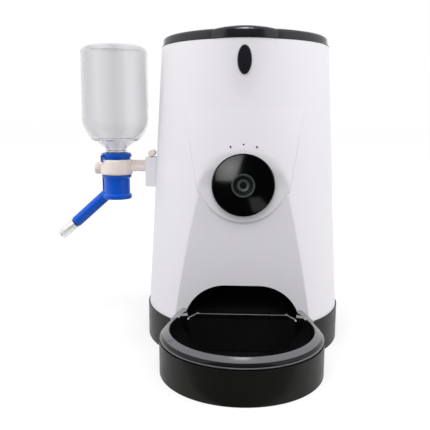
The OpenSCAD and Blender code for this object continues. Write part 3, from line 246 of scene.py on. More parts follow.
def moulded(name, tint, rough, grain_mm, depth_mm, drift, values):
    """A moulded plastic or rubber: slow flow marks in its tone, handling marks in its gloss, a fine grain."""
    flow_mm = 55
    smudge_mm = 16
    made, tree, shader, place = start_finish(name, tint, values)
    flow = add(tree, "ShaderNodeTexNoise", {"Vector": place, "Scale": 1 / (flow_mm * MM), "Detail": 2.0})
    tone = add(tree, "ShaderNodeMapRange", {"Value": flow.outputs["Fac"], "From Min": 0.3, "From Max": 0.7,
                                            "To Min": 1 - drift, "To Max": 1 + drift})
    base = add(tree, "ShaderNodeHueSaturation", {"Value": tone.outputs["Result"], "Color": tint})
    smudge = add(tree, "ShaderNodeTexNoise", {"Vector": place, "Scale": 1 / (smudge_mm * MM), "Detail": 4.0})
    gloss = add(tree, "ShaderNodeMapRange", {"Value": smudge.outputs["Fac"], "From Min": 0.3,
                                             "From Max": 0.75, "To Min": rough * 0.9, "To Max": rough * 1.25})
    grain = add(tree, "ShaderNodeTexNoise", {"Vector": place, "Scale": 1 / (grain_mm * MM), "Detail": 2.0})
    bump = add(tree, "ShaderNodeBump", {"Height": grain.outputs["Fac"], "Strength": 1.0,
                                        "Distance": depth_mm * MM})
    wire(tree, shader, {"Base Color": base.outputs["Color"], "Roughness": gloss.outputs["Result"],
                        "Normal": bump.outputs["Normal"]})
    return made


def metal(name, tint, rough, stretch, line_mm, depth_mm):
    """A worked metal: fine tool lines, drawn out by stretch along each axis, in its gloss and its relief."""
    made, tree, shader, place = start_finish(name, tint, {"Metallic": 1.0})
    turned = add(tree, "ShaderNodeMapping", {"Vector": place, "Scale": stretch})
    lines = add(tree, "ShaderNodeTexNoise", {"Vector": turned.outputs["Vector"],
                                             "Scale": 1 / (line_mm * MM), "Detail": 3.0})
    gloss = add(tree, "ShaderNodeMapRange", {"Value": lines.outputs["Fac"], "From Min": 0.25,
                                             "From Max": 0.75, "To Min": rough * 0.75, "To Max": rough * 1.4})
    bump = add(tree, "ShaderNodeBump", {"Height": lines.outputs["Fac"], "Strength": 1.0,
                                        "Distance": depth_mm * MM})
    wire(tree, shader, {"Roughness": gloss.outputs["Result"], "Normal": bump.outputs["Normal"]})
    return made


def clear_plastic(name, tint, ior, rough, axis_x, neck_z, wave_mm, depth_mm):
    """A clear blown plastic: upright bands in its tint are painted reflection streaks, and its darker tint by
    the neck is painted shade.
    """
    reflection_bands = 6
    reflection_band_turn = math.radians(12.5)
    neck_shade_full_mm = 13
    neck_shade_end_mm = 38
    made, tree, shader, place = start_finish(name, tint, {"Transmission Weight": 1.0, "IOR": ior})
    centred = add(tree, "ShaderNodeMapping", {"Vector": place, "Location": (-axis_x, 0.0, neck_z),
                                              "Rotation": (0.0, 0.0, reflection_band_turn)}, vector_type="TEXTURE")
    # Painted reflection streaks: the tint goes lighter and darker in upright bands round the axis
    way = add(tree, "ShaderNodeTexGradient", {"Vector": centred.outputs["Vector"]}, gradient_type="RADIAL")
    turn = add(tree, "ShaderNodeMath", {0: way.outputs["Fac"], 1: reflection_bands * FULL}, operation="MULTIPLY")
    band = add(tree, "ShaderNodeMath", {0: turn.outputs[0]}, operation="COSINE")
    across = add(tree, "ShaderNodeMapRange", {"Value": band.outputs[0], "From Min": -1.0, "To Min": 0.955,
                                              "To Max": 1.05})
    # Painted shade: the tint darkens towards the neck
    height = add(tree, "ShaderNodeSeparateXYZ", {"Vector": centred.outputs["Vector"]})
    along = add(tree, "ShaderNodeMapRange", {"Value": height.outputs["Z"], "From Min": neck_shade_full_mm * MM,
                                             "From Max": neck_shade_end_mm * MM, "To Min": 0.92, "To Max": 1.0})
    tone = add(tree, "ShaderNodeMath", {0: across.outputs["Result"], 1: along.outputs["Result"]},
               operation="MULTIPLY")
    base = add(tree, "ShaderNodeHueSaturation", {"Value": tone.outputs[0], "Color": tint})
    wave = add(tree, "ShaderNodeTexNoise", {"Vector": place, "Scale": 1 / (wave_mm * MM), "Detail": 1.0})
    gloss = add(tree, "ShaderNodeMapRange", {"Value": wave.outputs["Fac"], "To Min": rough * 0.5,
                                             "To Max": rough * 1.5})
    bump = add(tree, "ShaderNodeBump", {"Height": wave.outputs["Fac"], "Strength": 1.0,
                                        "Distance": depth_mm * MM})
    wire(tree, shader, {"Base Color": base.outputs["Color"], "Roughness": gloss.outputs["Result"],
                        "Normal": bump.outputs["Normal"]})
    return made


def circuit_board():
    """Fibreglass board under green solder mask: copper tracks show as paler, slightly raised lines."""
    track_mm = 3.0
    raised_mm = 0.05
    made, tree, shader, place = start_finish("Fibreglass_board_solder_masked", linear("#14502f"), {})
    tracks = add(tree, "ShaderNodeTexBrick", {"Vector": place, "Scale": 1 / (4 * track_mm * MM),
                                              "Color1": linear("#14502f"), "Color2": linear("#12482b"),
                                              "Mortar": linear("#2f7a4c"), "Mortar Size": 0.03})
    bump = add(tree, "ShaderNodeBump", {"Height": tracks.outputs["Fac"], "Strength": 1.0,
                                        "Distance": raised_mm * MM})
    wire(tree, shader, {"Base Color": tracks.outputs["Color"], "Roughness": tracks.outputs["Fac"],
                        "Normal": bump.outputs["Normal"]})
    return made


def coated_glass():
    """Ground lens glass under an anti-reflection coat: dark and hard-edged, with a green-blue cast."""
    cast_mm = 6
    tint = linear("#1a2020")
    made, tree, shader, place = start_finish("Lens_glass_coated", tint, {
        "IOR": 1.52, "Roughness": 0.03, "Coat Weight": 0.6, "Coat Roughness": 0.02,
        "Coat Tint": linear("#b9d6d2")})
    cast = add(tree, "ShaderNodeTexNoise", {"Vector": place, "Scale": 1 / (cast_mm * MM), "Detail": 0.0})
    tone = add(tree, "ShaderNodeMapRange", {"Value": cast.outputs["Fac"], "To Min": 0.8, "To Max": 1.3})
    base = add(tree, "ShaderNodeHueSaturation", {"Value": tone.outputs["Result"], "Color": tint})
    wire(tree, shader, {"Base Color": base.outputs["Color"]})
    return made


def make_finish(slot):
    """Makes the finish that a name stands for."""
    c = bpy.context.scene.feeder_colours
    bottle = bpy.context.scene.feeder_bottle
    shine = "Specular IOR Level"
    even = (1.0, 1.0, 1.0)
    along_z = (1.0, 1.0, 0.08)
    # Name, colour, roughness, width and depth of the grain in mm, drift of the tone, other plain values
    plastics = {
        # White ABS, moulded in a polished tool: a soft wide sheen over an even milky white
        "white_shell": ("ABS_white_polished_mould", c.white, 0.4, 1.6, 0.0015, 0.006,
                        {"IOR": 1.53, shine: 0.12}),
        # Black ABS, polished mould: dark, with long soft reflections that handling has dulled in places
        "black_shell": ("ABS_black_polished_mould", c.black, 0.34, 1.4, 0.002, 0.1,
                        {"IOR": 1.5, shine: 0.13}),
        # Black ABS, polished mould: deep, with bright reflections where the rim turns away
        "lid_black": ("ABS_black_bright_mould", c.lid, 0.2, 6.0, 0.0008, 0.06, {"IOR": 1.5}),
        # Black polypropylene: dull and slightly waxy
        "inner_black": ("Polypropylene_black_moulded", c.inside, 0.5, 1.0, 0.01, 0.1,
                        {"IOR": 1.49, shine: 0.3}),
        # Smoke-tinted polystyrene over the black base: nearly black where it is deep, with little shine left
        "smoked_bowl": ("Polystyrene_smoked_deep", c.bowl, 0.16, 3.0, 0.002, 0.1,
                        {"IOR": 1.4, shine: 0.25}),
        # The same polystyrene, half clear, on the rim's crest and bead: a lighter grey copy whose grey is
        # painted light
        "bowl_rim_painted_light": ("Polystyrene_smoked_rim_painted_light", c.rim, 0.14, 2.0, 0.002, 0.05,
                     {"IOR": 1.55, "Transmission Weight": 0.45}),
        # The same polystyrene where the rim turns down over the black base: a darker grey copy, polished, its
        # tone painted shade
        "bowl_skirt_painted_shade": ("Polystyrene_smoked_skirt_painted_shade", linear("#151517"), 0.14, 2.0, 0.002, 0.05,
                       {"IOR": 1.5, shine: 0.25}),
        # The same polystyrene in the thin strips and corners at the back: a pale grey copy, a painted
        # highlight
        "bowl_edge_painted_highlight": ("Polystyrene_smoked_edge_painted_highlight", linear("#c9c9cc"), 0.2, 2.0, 0.002, 0.05,
                      {"IOR": 1.5, "Transmission Weight": 0.2}),
        # Black cast acrylic, polished: a deep black that mirrors the lamps
        "camera_black": ("Acrylic_black_cast", c.window, 0.11, 3.0, 0.0006, 0.05, {"IOR": 1.49}),
        # Aluminium, turned and anodised: a dull dark green-grey that catches light on its edges
        "lens_metal": ("Aluminium_anodised_turned", linear("#3d4844"), 0.3, 0.6, 0.003, 0.05,
                       {"Metallic": 0.3}),
        # Aluminium, turned and left bright: a paler ring round the glass
        "lens_inner": ("Aluminium_turned_bright", linear("#474d4a"), 0.3, 0.6, 0.003, 0.05,
                       {"Metallic": 0.3}),
        # Blue polypropylene, moulded: saturated, with a soft waxy shine
        "blue_valve": ("Polypropylene_blue_moulded", c.blue, 0.24, 1.2, 0.003, 0.06,
                       {"IOR": 1.49, shine: 0.35}),
        # Natural nylon, moulded: warm ivory, half dull
        "ivory_bracket": ("Nylon_ivory_moulded", c.ivory, 0.42, 1.2, 0.008, 0.03, {"IOR": 1.53}),
        # White polypropylene, moulded: matt milk white
        "inner_white": ("Polypropylene_white_moulded", c.hopper, 0.45, 1.4, 0.008, 0.02, {"IOR": 1.49}),
        # Teal thermoplastic rubber: soft matt skin
        "rotor_plastic": ("Thermoplastic_rubber_teal", c.rotor, 0.6, 1.0, 0.015, 0.05, {"IOR": 1.5}),
        # Acetal, moulded: slick ivory white
        "gear_plastic": ("Acetal_natural_moulded", linear("#e9e5d8"), 0.35, 1.0, 0.004, 0.03, {"IOR": 1.48}),
        # Moulded rubber: dark and dull, with a dusty grain
        "foot_rubber": ("Rubber_black_moulded", linear("#2a2a2c"), 0.8, 0.8, 0.02, 0.1, {"IOR": 1.5}),
        # Translucent silicone rubber: greyish white, waxy
        "seal_silicone": ("Silicone_grey_moulded", linear("#b9babb"), 0.5, 1.0, 0.006, 0.03, {"IOR": 1.41}),
    }
    # Name, colour, roughness, stretch of the tool lines, their spacing and depth in mm
    metals = {
        # Hobbed brass: warm yellow, with fine bright lines along the teeth
        "pinion_brass": ("Brass_hobbed", linear("#d9b25c"), 0.25, along_z, 0.5, 0.006),
        # Sintered bronze: open grain that shows as dull specks
        "bush_bronze": ("Bronze_sintered", linear("#b07a44"), 0.45, even, 0.5, 0.02),
        # Zinc-plated steel can: cool grey with a faint spangle
        "motor_case": ("Steel_zinc_plated", linear("#b4b9bd"), 0.32, even, 4.0, 0.004),
        # Turned stainless steel, brushed: bright grey with soft streaks of light
        "steel": ("Steel_stainless_brushed", linear("#f0f1ec"), 0.52, even, 0.6, 0.002),
    }
    if slot in plastics:
        return moulded(*plastics[slot])
    if slot == "clear_bottle":
        # Clear PET, stretch-blown: nearly invisible in the middle, grey at its edges, with a slight wave
        return clear_plastic("PET_clear_blown", c.bottle, 1.36, 0.03, bottle.axis_x, bottle.shoulder_z,
                             14.0, 0.05)
    if slot == "circuit_board":
        return circuit_board()
    if slot == "lens":
        return coated_glass()
    return metal(*metals[slot])


FINISHES = {}


def finish(slot):
    """A finish by its name, made once."""
    if slot not in FINISHES:
        FINISHES[slot] = make_finish(slot)
    return FINISHES[slot]


# Modelling helpers. Pieces are modelled in millimetres and scaled once, when they are made


def loose(bm, name):
    """A plain object from a bmesh, which is freed."""
    mesh = bpy.data.meshes.new(name)
    bm.to_mesh(mesh)
    bm.free()
    made = bpy.data.objects.new(name, mesh)
    bpy.context.scene.collection.objects.link(made)
    return made


def make_piece(name, bm, slot, body, *nodes, crease=32, scale=MM):
    """Turns a bmesh into a dressed piece that rides on a body and stands for CAD nodes."""
    bmesh.ops.scale(bm, vec=(scale,) * 3, verts=bm.verts)
    piece = loose(bm, name)
    piece.data.materials.append(finish(slot))
    piece.data.shade_smooth()
    piece.data.set_sharp_from_angle(angle=math.radians(crease))
    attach(piece, body)
    if nodes:
        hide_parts(*nodes)
    return piece


def paint(piece, slots, choose):
    """Adds finishes, and lets choose pick each face's one by its middle, in mm, and its normal."""
    for slot in slots:
        piece.data.materials.append(finish(slot))
    for face in piece.data.polygons:
        face.material_index = choose(face.center / MM, face.normal)


def worked(bm, *steps):
    """Runs modifiers on a bmesh and gives the result. Each step is a kind and its settings."""
    work = loose(bm, "work")
    tools = []
    for kind, settings in steps:
        modifier = work.modifiers.new(kind, kind)
        for name, value in settings.items():
            if isinstance(value, bmesh.types.BMesh):
                value = loose(value, "tool")
                tools.append(value)
            setattr(modifier, name, value)
    done = bmesh.new()
    done.from_object(work, bpy.context.evaluated_depsgraph_get())
    for used in [work] + tools:
        mesh = used.data
        bpy.data.objects.remove(used)
        bpy.data.meshes.remove(mesh)
    return done


def joined(bm, *others):
    """Adds solids to a bmesh one after another, where they may overlap."""
    for other in others:
        bm = worked(bm, ("BOOLEAN", {"object": other, "operation": "UNION", "solver": "EXACT"}))
    return bm


def carved(bm, *others):
    """Takes solids out of a bmesh one after another."""
    for other in others:
        bm = worked(bm, ("BOOLEAN", {"object": other, "operation": "DIFFERENCE", "solver": "EXACT"}))
    return bm


def lathe(profile, centre=(0, 0, 0), axis=(0, 0, 1), steps=128, closed=False, segments=4):
    """Spins corners of (radius, height, setback) about an axis, and rounds each corner by its setback."""
    bm = bmesh.new()
    centre = Vector(centre)
    axis = Vector(axis).normalized()
    out = axis.orthogonal().normalized()
    corners = [(tuple(c) + (0,))[:3] for c in profile]
    verts = [bm.verts.new(centre + out * r + axis * h) for r, h, _ in corners]
    edges = [bm.edges.new(pair) for pair in zip(verts, verts[1:] + verts[:1] if closed else verts[1:])]
    bmesh.ops.spin(bm, geom=verts + edges, cent=centre, axis=axis, angle=FULL, steps=steps, use_merge=True)
    bmesh.ops.remove_doubles(bm, verts=bm.verts, dist=1e-4)
    bmesh.ops.recalc_face_normals(bm, faces=bm.faces)
    for r, h, setback in corners:
        if setback:
            round_edges(bm, ring_edges(bm, centre, axis, r, h), setback, segments)
    return bm


def ring_edges(bm, centre, axis, r, h):
    """The edges of a round ring at a radius and a height along an axis."""
    def on_ring(vert):
        arm = vert.co - centre
        along = arm.dot(axis)
        return abs(along - h) < NEAR and abs((arm - axis * along).length - r) < NEAR
    return [e for e in bm.edges if on_ring(e.verts[0]) and on_ring(e.verts[1])]


def round_edges(bm, edges, setback, segments=3):
    bmesh.ops.bevel(bm, geom=edges, offset=setback, offset_type="OFFSET", segments=segments, profile=0.5,
                    affect="EDGES", clamp_overlap=True, material=-1)


def prism(outline, along):
    """Extrudes a flat outline along a vector."""
    bm = bmesh.new()
    face = bm.faces.new([bm.verts.new(p) for p in outline])
    grown = bmesh.ops.extrude_face_region(bm, geom=[face])["geom"]
    bmesh.ops.translate(bm, vec=along, verts=[v for v in grown if isinstance(v, bmesh.types.BMVert)])
    bmesh.ops.recalc_face_normals(bm, faces=bm.faces)
    return bm


def rod(r, start, end, steps=64, squeeze=(1, 1, 1), end_r=None):
    """A round or oval bar between two points, tapered to an end radius; squeeze scales it about its start."""
    start, end = Vector(start), Vector(end)
    run = end - start
    bm = bmesh.new()
    turn = run.to_track_quat("Z", "Y").to_matrix().to_4x4()
    bmesh.ops.create_cone(bm, cap_ends=True, segments=steps, radius1=r, radius2=end_r or r, depth=run.length,
                          matrix=Matrix.Translation((start + end) / 2) @ turn)
    bmesh.ops.scale(bm, vec=squeeze, space=Matrix.Translation(-start), verts=bm.verts)
    return bm


def bore(r, x, z, end_y=INNER_Y, steps=96):
    """A round tool that cuts into the front of the body."""
    return rod(r, (x, CLEAR_Y, z), (x, end_y, z), steps)


def button_oval(start_y, end_y, grow=0, flare=1):
    """An oval bar on the button's axis, larger all round by grow and widened at its front by flare."""
    squeeze = (BUTTON_HALF_W + grow, 1, BUTTON_HALF_H + grow)
    return rod(flare, (0, start_y, BUTTON_Z), (0, end_y, BUTTON_Z), 96, squeeze, 1)


def hinge_bar(r, x0, x1, steps=64):
    """A round bar on the lid's hinge."""
    return rod(r, (x0, HINGE_Y, HINGE_Z), (x1, HINGE_Y, HINGE_Z), steps)


def block(low, high, setback=0):
    """A box between two corners, with its edges rounded where a setback is given."""
    low, high = Vector(low), Vector(high)
    bm = bmesh.new()
    size = Matrix.Diagonal(high - low).to_4x4()
    bmesh.ops.create_cube(bm, size=1, matrix=Matrix.Translation((low + high) / 2) @ size)
    if setback:
        round_edges(bm, bm.edges[:], setback)
    return bm


def flat_cut(bm, point, normal):
    """Cuts away what lies beyond a plane and closes the cut."""
    everything = bm.verts[:] + bm.edges[:] + bm.faces[:]
    cut = bmesh.ops.bisect_plane(bm, geom=everything, plane_co=point, plane_no=normal,
                                 clear_outer=True)["geom_cut"]
    bmesh.ops.edgeloop_fill(bm, edges=[e for e in cut if isinstance(e, bmesh.types.BMEdge)])


def together(*shapes):
    """Puts closed shapes into one bmesh as they are."""
    bm = bmesh.new()
    for shape in shapes:
        mesh = bpy.data.meshes.new("part")
        shape.to_mesh(mesh)
        shape.free()
        bm.from_mesh(mesh)
        bpy.data.meshes.remove(mesh)
    return bm


def node_copy(node):
    """A bmesh of a CAD node, in metres, with its doubles merged."""
    bm = bmesh.new()
    bm.from_mesh(frame["nodes"][node].data)
    bmesh.ops.remove_doubles(bm, verts=bm.verts, dist=0.002 * MM)
    return bm


def softened(node, name, width_mm, angle=30):
    """A copy of a CAD node with its flats cleaned and its edges rounded."""
    bm = node_copy(node)
    bmesh.ops.dissolve_limit(bm, angle_limit=math.radians(0.5), verts=bm.verts, edges=bm.edges)
    body = frame["nodes"][node]["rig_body"]
    piece = make_piece(name, bm, SLOT_OF[node], body, node, crease=angle, scale=1)
    soften(piece, width_mm, angle)
    return piece


def soften(piece, width_mm, angle):
    """Rounds a piece's edges that turn by more than an angle."""
    rounding = piece.modifiers.new("Rounding", "BEVEL")
    rounding.width = width_mm * MM
    rounding.segments = 3
    rounding.limit_method = "ANGLE"
    rounding.angle_limit = math.radians(angle)


def mm(sizes, *names):
    """Sizes of a group, in millimetres."""
    return [getattr(sizes, n) / MM for n in names]


def smooth_step(value, low, high):
    """Goes from 0 at low to 1 at high, level at both ends."""
    t = min(1.0, max(0.0, (value - low) / (high - low)))
    return t * t * (3 - 2 * t)


# Body shell


class BodySkin:
    """The outer face of the body, in millimetres: a cone with a flat front, a brow panel and a spine."""
    # Fine columns lie in a strip on each side of the front's edge, the finest a crease's width from it
    strip = 3.0
    crease = 0.7
    # The recess ends in a crisp edge that softens between two heights of its arch
    crisp = 0.4
    soft = 4.0
    arch_low = 200
    arch_high = 230

    def __init__(self, sizes):
        self.low, self.high, self.foot_r, self.top_r = mm(sizes, "low_z", "high_z", "foot_d", "top_d")
        self.foot_r /= 2
        self.top_r /= 2
        self.spine_half, self.spine_low, self.spine_proud = mm(
            sizes, "spine_half", "spine_low_z", "spine_proud")
        self.reach, self.bend_z, self.bend_r = mm(sizes, "recess_reach", "recess_bend_z", "recess_bend_r")
        self.tilt = sizes.recess_tilt
        self.brow_z0, self.brow_z1, self.brow_w0, self.brow_w1, self.brow_rise, self.brow_groove = mm(
            sizes, "brow_low_z", "brow_top_z", "brow_low_w", "brow_top_w", "brow_rise", "brow_groove")

    def radius(self, z):
        return self.foot_r + (self.top_r - self.foot_r) * (z - self.low) / (self.high - self.low)

    def flat(self, z):
        """Distance of the flat front from the axis; above its bend it curves outwards."""
        bend_y = self.reach + (self.bend_z - self.low) * math.tan(self.tilt)
        if z <= self.bend_z:
            return self.reach + (z - self.low) * math.tan(self.tilt)
        hub_y = bend_y + self.bend_r * math.cos(self.tilt)
        hub_z = self.bend_z - self.bend_r * math.sin(self.tilt)
        drop = z - hub_z
        return hub_y - math.sqrt(self.bend_r ** 2 - drop ** 2) if drop < self.bend_r else hub_y

    def brow(self, z):
        """Share of the way up the brow panel: below 0 under it and above 1 over it."""
        return (z - self.brow_z0) / (self.brow_z1 - self.brow_z0)

    def edge(self, z):
        """Half the width of the front: the flat's edge below, the brow's edge above."""
        t = self.brow(z)
        if t < 0:
            return math.sqrt(self.radius(z) ** 2 - self.flat(z) ** 2)
        return (self.brow_w0 + (self.brow_w1 - self.brow_w0) * min(t, 1.0)) / 2

    def spine(self, x, z):
        """How far the swell stands out: widest under the lid, narrowing to nothing at its foot."""
        soft = 0.6
        share = (z - self.spine_low) / (self.high - self.spine_low)
        swell = self.spine_proud * (share - (x / self.spine_half) ** 2)
        near = max(soft - abs(swell), 0) / soft
        return max(swell, 0) + near * near * soft / 4

    def point(self, side, zone, spot, z):
        """A point of the skin in a column, which is a side, a zone and a spot in that zone."""
        r = self.radius(z)
        edge = self.edge(z)
        rise = 0
        if zone in ("back", "beside"):
            turn = math.asin(edge / r)
            if zone == "beside":
                turn += spot / r
            else:
                first = turn + self.strip / r
                turn = first + (math.pi - first) * spot
            x, y = r * math.sin(turn), r * math.cos(turn)
        else:
            x = edge - spot if zone == "inside" else (edge - self.strip) * spot
            y = math.sqrt(r * r - x * x)
            t = self.brow(z)
            if 0 <= t < 1:
                rise = (self.brow_rise if x < edge - 0.1 else -self.brow_groove) * (1 - t ** 2)
        if y > 0:
            rise += self.spine(x, z)
        x, y = x * (1 + rise / r), y * (1 + rise / r)
        blend = self.crisp + (self.soft - self.crisp) * smooth_step(z, self.arch_low, self.arch_high)
        flat = self.flat(z)
        near = max(blend - abs(y - flat), 0) / blend
        return Vector((side * x, near * near * blend / 4 - min(y, flat), z))

    def columns(self):
        """Columns from the back seam round the front and back again."""
        half = [("front", i / 40) for i in range(41)] + [("inside", self.crease), ("inside", 0.0)]
        half += [("beside", self.crease), ("beside", self.strip)]
        half += [("back", i / 48) for i in range(1, 49)]
        return [(-1, *c) for c in reversed(half[1:])] + [(1, *c) for c in half]


def build_skin(skin, wall):
    """The skin as a grid of columns and rows, given its wall."""
    columns = skin.columns()
    last = len(columns) - 1
    rows = 170
    bm = bmesh.new()
    bmesh.ops.create_grid(bm, x_segments=last, y_segments=rows, size=1)
    for vert in bm.verts:
        column = columns[round((vert.co.x + 1) / 2 * last)]
        z = skin.low + (skin.high - skin.low) * round((vert.co.y + 1) / 2 * rows) / rows
        vert.co = skin.point(*column, z)
    bmesh.ops.remove_doubles(bm, verts=bm.verts, dist=1e-3)
    bmesh.ops.recalc_face_normals(bm, faces=bm.faces)
    if sum(f.normal.x * f.calc_center_median().x for f in bm.faces) < 0:
        bmesh.ops.reverse_faces(bm, faces=bm.faces)
    return worked(bm, ("SOLIDIFY", {"thickness": wall, "offset": -1.0, "use_even_offset": True}))


def build_mouth(sizes):
    """The tool that cuts the food mouth, arched at its top corners."""
    width, top, arch_r = mm(sizes, "mouth_w", "mouth_z", "mouth_arch_r")
    inner_y = -63
    below = 70
    bm = block((-width / 2, CLEAR_Y, top - below), (width / 2, inner_y, top))
    corners = [e for e in bm.edges if all(abs(v.co.z - top) < NEAR for v in e.verts)
               and abs(e.verts[0].co.x - e.verts[1].co.x) < NEAR]
    round_edges(bm, corners, arch_r, 32)
    return bm


def build_ears():
    """The two ears behind the lid that hold the hinge pin."""
    back, front = HINGE_Y + KNUCKLE_R, HINGE_Y - KNUCKLE_R
    side_view = [(back, HINGE_Z), (front, HINGE_Z), (front, 352.5), (98.5, 352.5), (98.5, 332), (100.3, 332),
                 (back, 346)]
    ears = []
    for side in (-1, 1):
        x0, x1 = side * 12.3, side * 20.3
        plate = prism([(x0, y, z) for y, z in side_view], (x1 - x0, 0, 0))
        ears.append(joined(plate, hinge_bar(KNUCKLE_R, x0, x1)))
    return ears


class FeederShell(Operator):
    """Build the white body shell with its camera disc, mouth and hinge ears"""
    bl_idname = "feeder.shell"
    bl_label = "Body shell"

    def execute(self, context):
        sizes = context.scene.feeder_body
        wall, disc_d, disc_z, seat_y = mm(sizes, "wall", "bezel_d", "bezel_z", "bezel_y")
        window_d, camera_z = mm(context.scene.feeder_camera, "window_d", "height")
        disc_t = 3
        disc_sunk = 0.4
        disc = lathe([(0, disc_t), (disc_d / 2, disc_t, 0.9), (disc_d / 2, 0), (0, 0)],
                     (0, disc_t + disc_sunk - seat_y, disc_z), (0, -1, 0))
        bm = joined(build_skin(BodySkin(sizes), wall), together(disc, *build_ears()))
        button_gap = 0.3
        flare_front, flare_back, flare_share = -109, -103.6, 1.12
        opening = button_oval(CLEAR_Y, INNER_Y, button_gap)
        flare = button_oval(flare_front, flare_back, button_gap, flare_share)
        dot_r = 0.95
        dots = [bore(dot_r, x, z, steps=24) for x, z in ((-14, 240.1), (0, 242.7), (14, 240.1))]
        seat = bore(window_d / 2 + 0.05, 0, camera_z, -seat_y, 128)
        hole = bore(window_d / 2 - 4, 0, camera_z)
        pin = hinge_bar(1.55, -30, 30, 24)
        bm = carved(bm, together(build_mouth(sizes), opening, pin, *dots), flare, seat, hole)
        make_piece("body_shell", bm, "white_shell", "housing", "outer_body", crease=28)
        return {"FINISHED"}


# Lid and button


class FeederLid(Operator):
    """Build the black lid with its front tab, rim, hinge knuckle and catch"""
    bl_idname = "feeder.lid"
    bl_label = "Lid"

    def execute(self, context):
        r, low, high, crown, wall, edge = mm(context.scene.feeder_lid, "radius", "low_z", "high_z", "crown",
                                             "wall", "edge")
        rows = 24
        domed = [(i / rows, crown * (1 - (i / rows) ** 2)) for i in range(rows)]
        top = [(r * share, high + up) for share, up in domed]
        under = [((r - wall) * share, high - wall + up) for share, up in domed]
        profile = top + [(r, high, edge), (r, low, 0.5), (r - wall, low, 0.3), (r - wall, high - wall, 1.2)]
        bm = lathe(profile + under[::-1], steps=360)
        self.push_tab(bm, context.scene)
        knuckle_x = 12
        knuckle = hinge_bar(KNUCKLE_R, -knuckle_x, knuckle_x)
        strap = block((-knuckle_x, r - wall - 0.5, HINGE_Z), (knuckle_x, HINGE_Y, HINGE_Z + KNUCKLE_R), 0.5)
        catch_low = (-4, -92.16, 339)
        catch = block(catch_low, (4, -89.66, high - 1), 0.3)
        hook = block(catch_low, (4, -87.66, 341.5), 0.4)
        seal_out, seal_in, seal_z = 90.7, 88.3, 354.3
        seal_ring = lathe([(seal_out, seal_z, 0.4), (seal_out, high - 1), (seal_in, high - 1),
                           (seal_in, seal_z, 0.4)], closed=True)
        bm = joined(bm, knuckle, strap, catch, hook, seal_ring)
        bm = carved(bm, hinge_bar(1.56, -30, 30, 32))
        make_piece("lid_shell", bm, "lid_black", "lid", "lid", crease=30)
        return {"FINISHED"}

    def push_tab(self, bm, scene):
        """Pushes the front of the rim out over the body's spine, and lifts it."""
        r, low, high, crown, wall, rise, step = mm(scene.feeder_lid, "radius", "low_z", "high_z", "crown",
                                                   "wall", "tab_rise", "tab_step")
        body = BodySkin(scene.feeder_body)
        end = math.asin(body.spine_half / r)
        fade = 0.01
        for vert in bm.verts:
            x, y, z = vert.co
            out = math.hypot(x, y)
            turn = abs(math.atan2(x, -y))
            surface = high + crown * (1 - (out / r) ** 2)
            inner = out < r - wall + 0.05 and z < surface - wall + 0.3
            if turn > end + fade or out < r - 16 or inner:
                continue
            bulge = max(0, 1 - (math.sin(turn) / math.sin(end)) ** 2)
            stepped = step * smooth_step(end + fade - turn, 0, 0.012)
            push = (body.spine_proud * bulge + stepped) * smooth_step(out, r - 8, r - 1)
            vert.co.x *= 1 + push / out
            vert.co.y *= 1 + push / out
            vert.co.z += rise * bulge * smooth_step(out, r - 15, r - 8) * smooth_step(z, low + 2, high - 2)


class FeederButton(Operator):
    """Build the oval release button with its flange and latch"""
    bl_idname = "feeder.button"
    bl_label = "Release button"

    def execute(self, context):
        proud = 1.6
        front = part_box("release_button")[0].y / MM - proud
        cap = button_oval(front, front + 9)
        face = [e for e in cap.edges if all(abs(v.co.y - front) < NEAR for v in e.verts)]
        round_edges(cap, face, 0.8, 4)
        crown = 0.25
        for vert in cap.verts:
            if vert.co.y < front + 0.5:
                across, up = vert.co.x / BUTTON_HALF_W, (vert.co.z - BUTTON_Z) / BUTTON_HALF_H
                vert.co.y += crown * (across ** 2 + up ** 2)
        flange = button_oval(-97.26, -95.26, 2)
        latch_x = 4
        latch_back = -84.36
        arm = block((-latch_x, -96.2, BUTTON_Z - 5), (latch_x, latch_back, 338), 0.3)
        latch = block((-latch_x, latch_back - 3, 337), (latch_x, latch_back, 348), 0.3)
        bm = joined(cap, flange, arm, latch)
        make_piece("release_oval", bm, "lid_black", "button", "release_button", crease=35)
        return {"FINISHED"}


# Camera


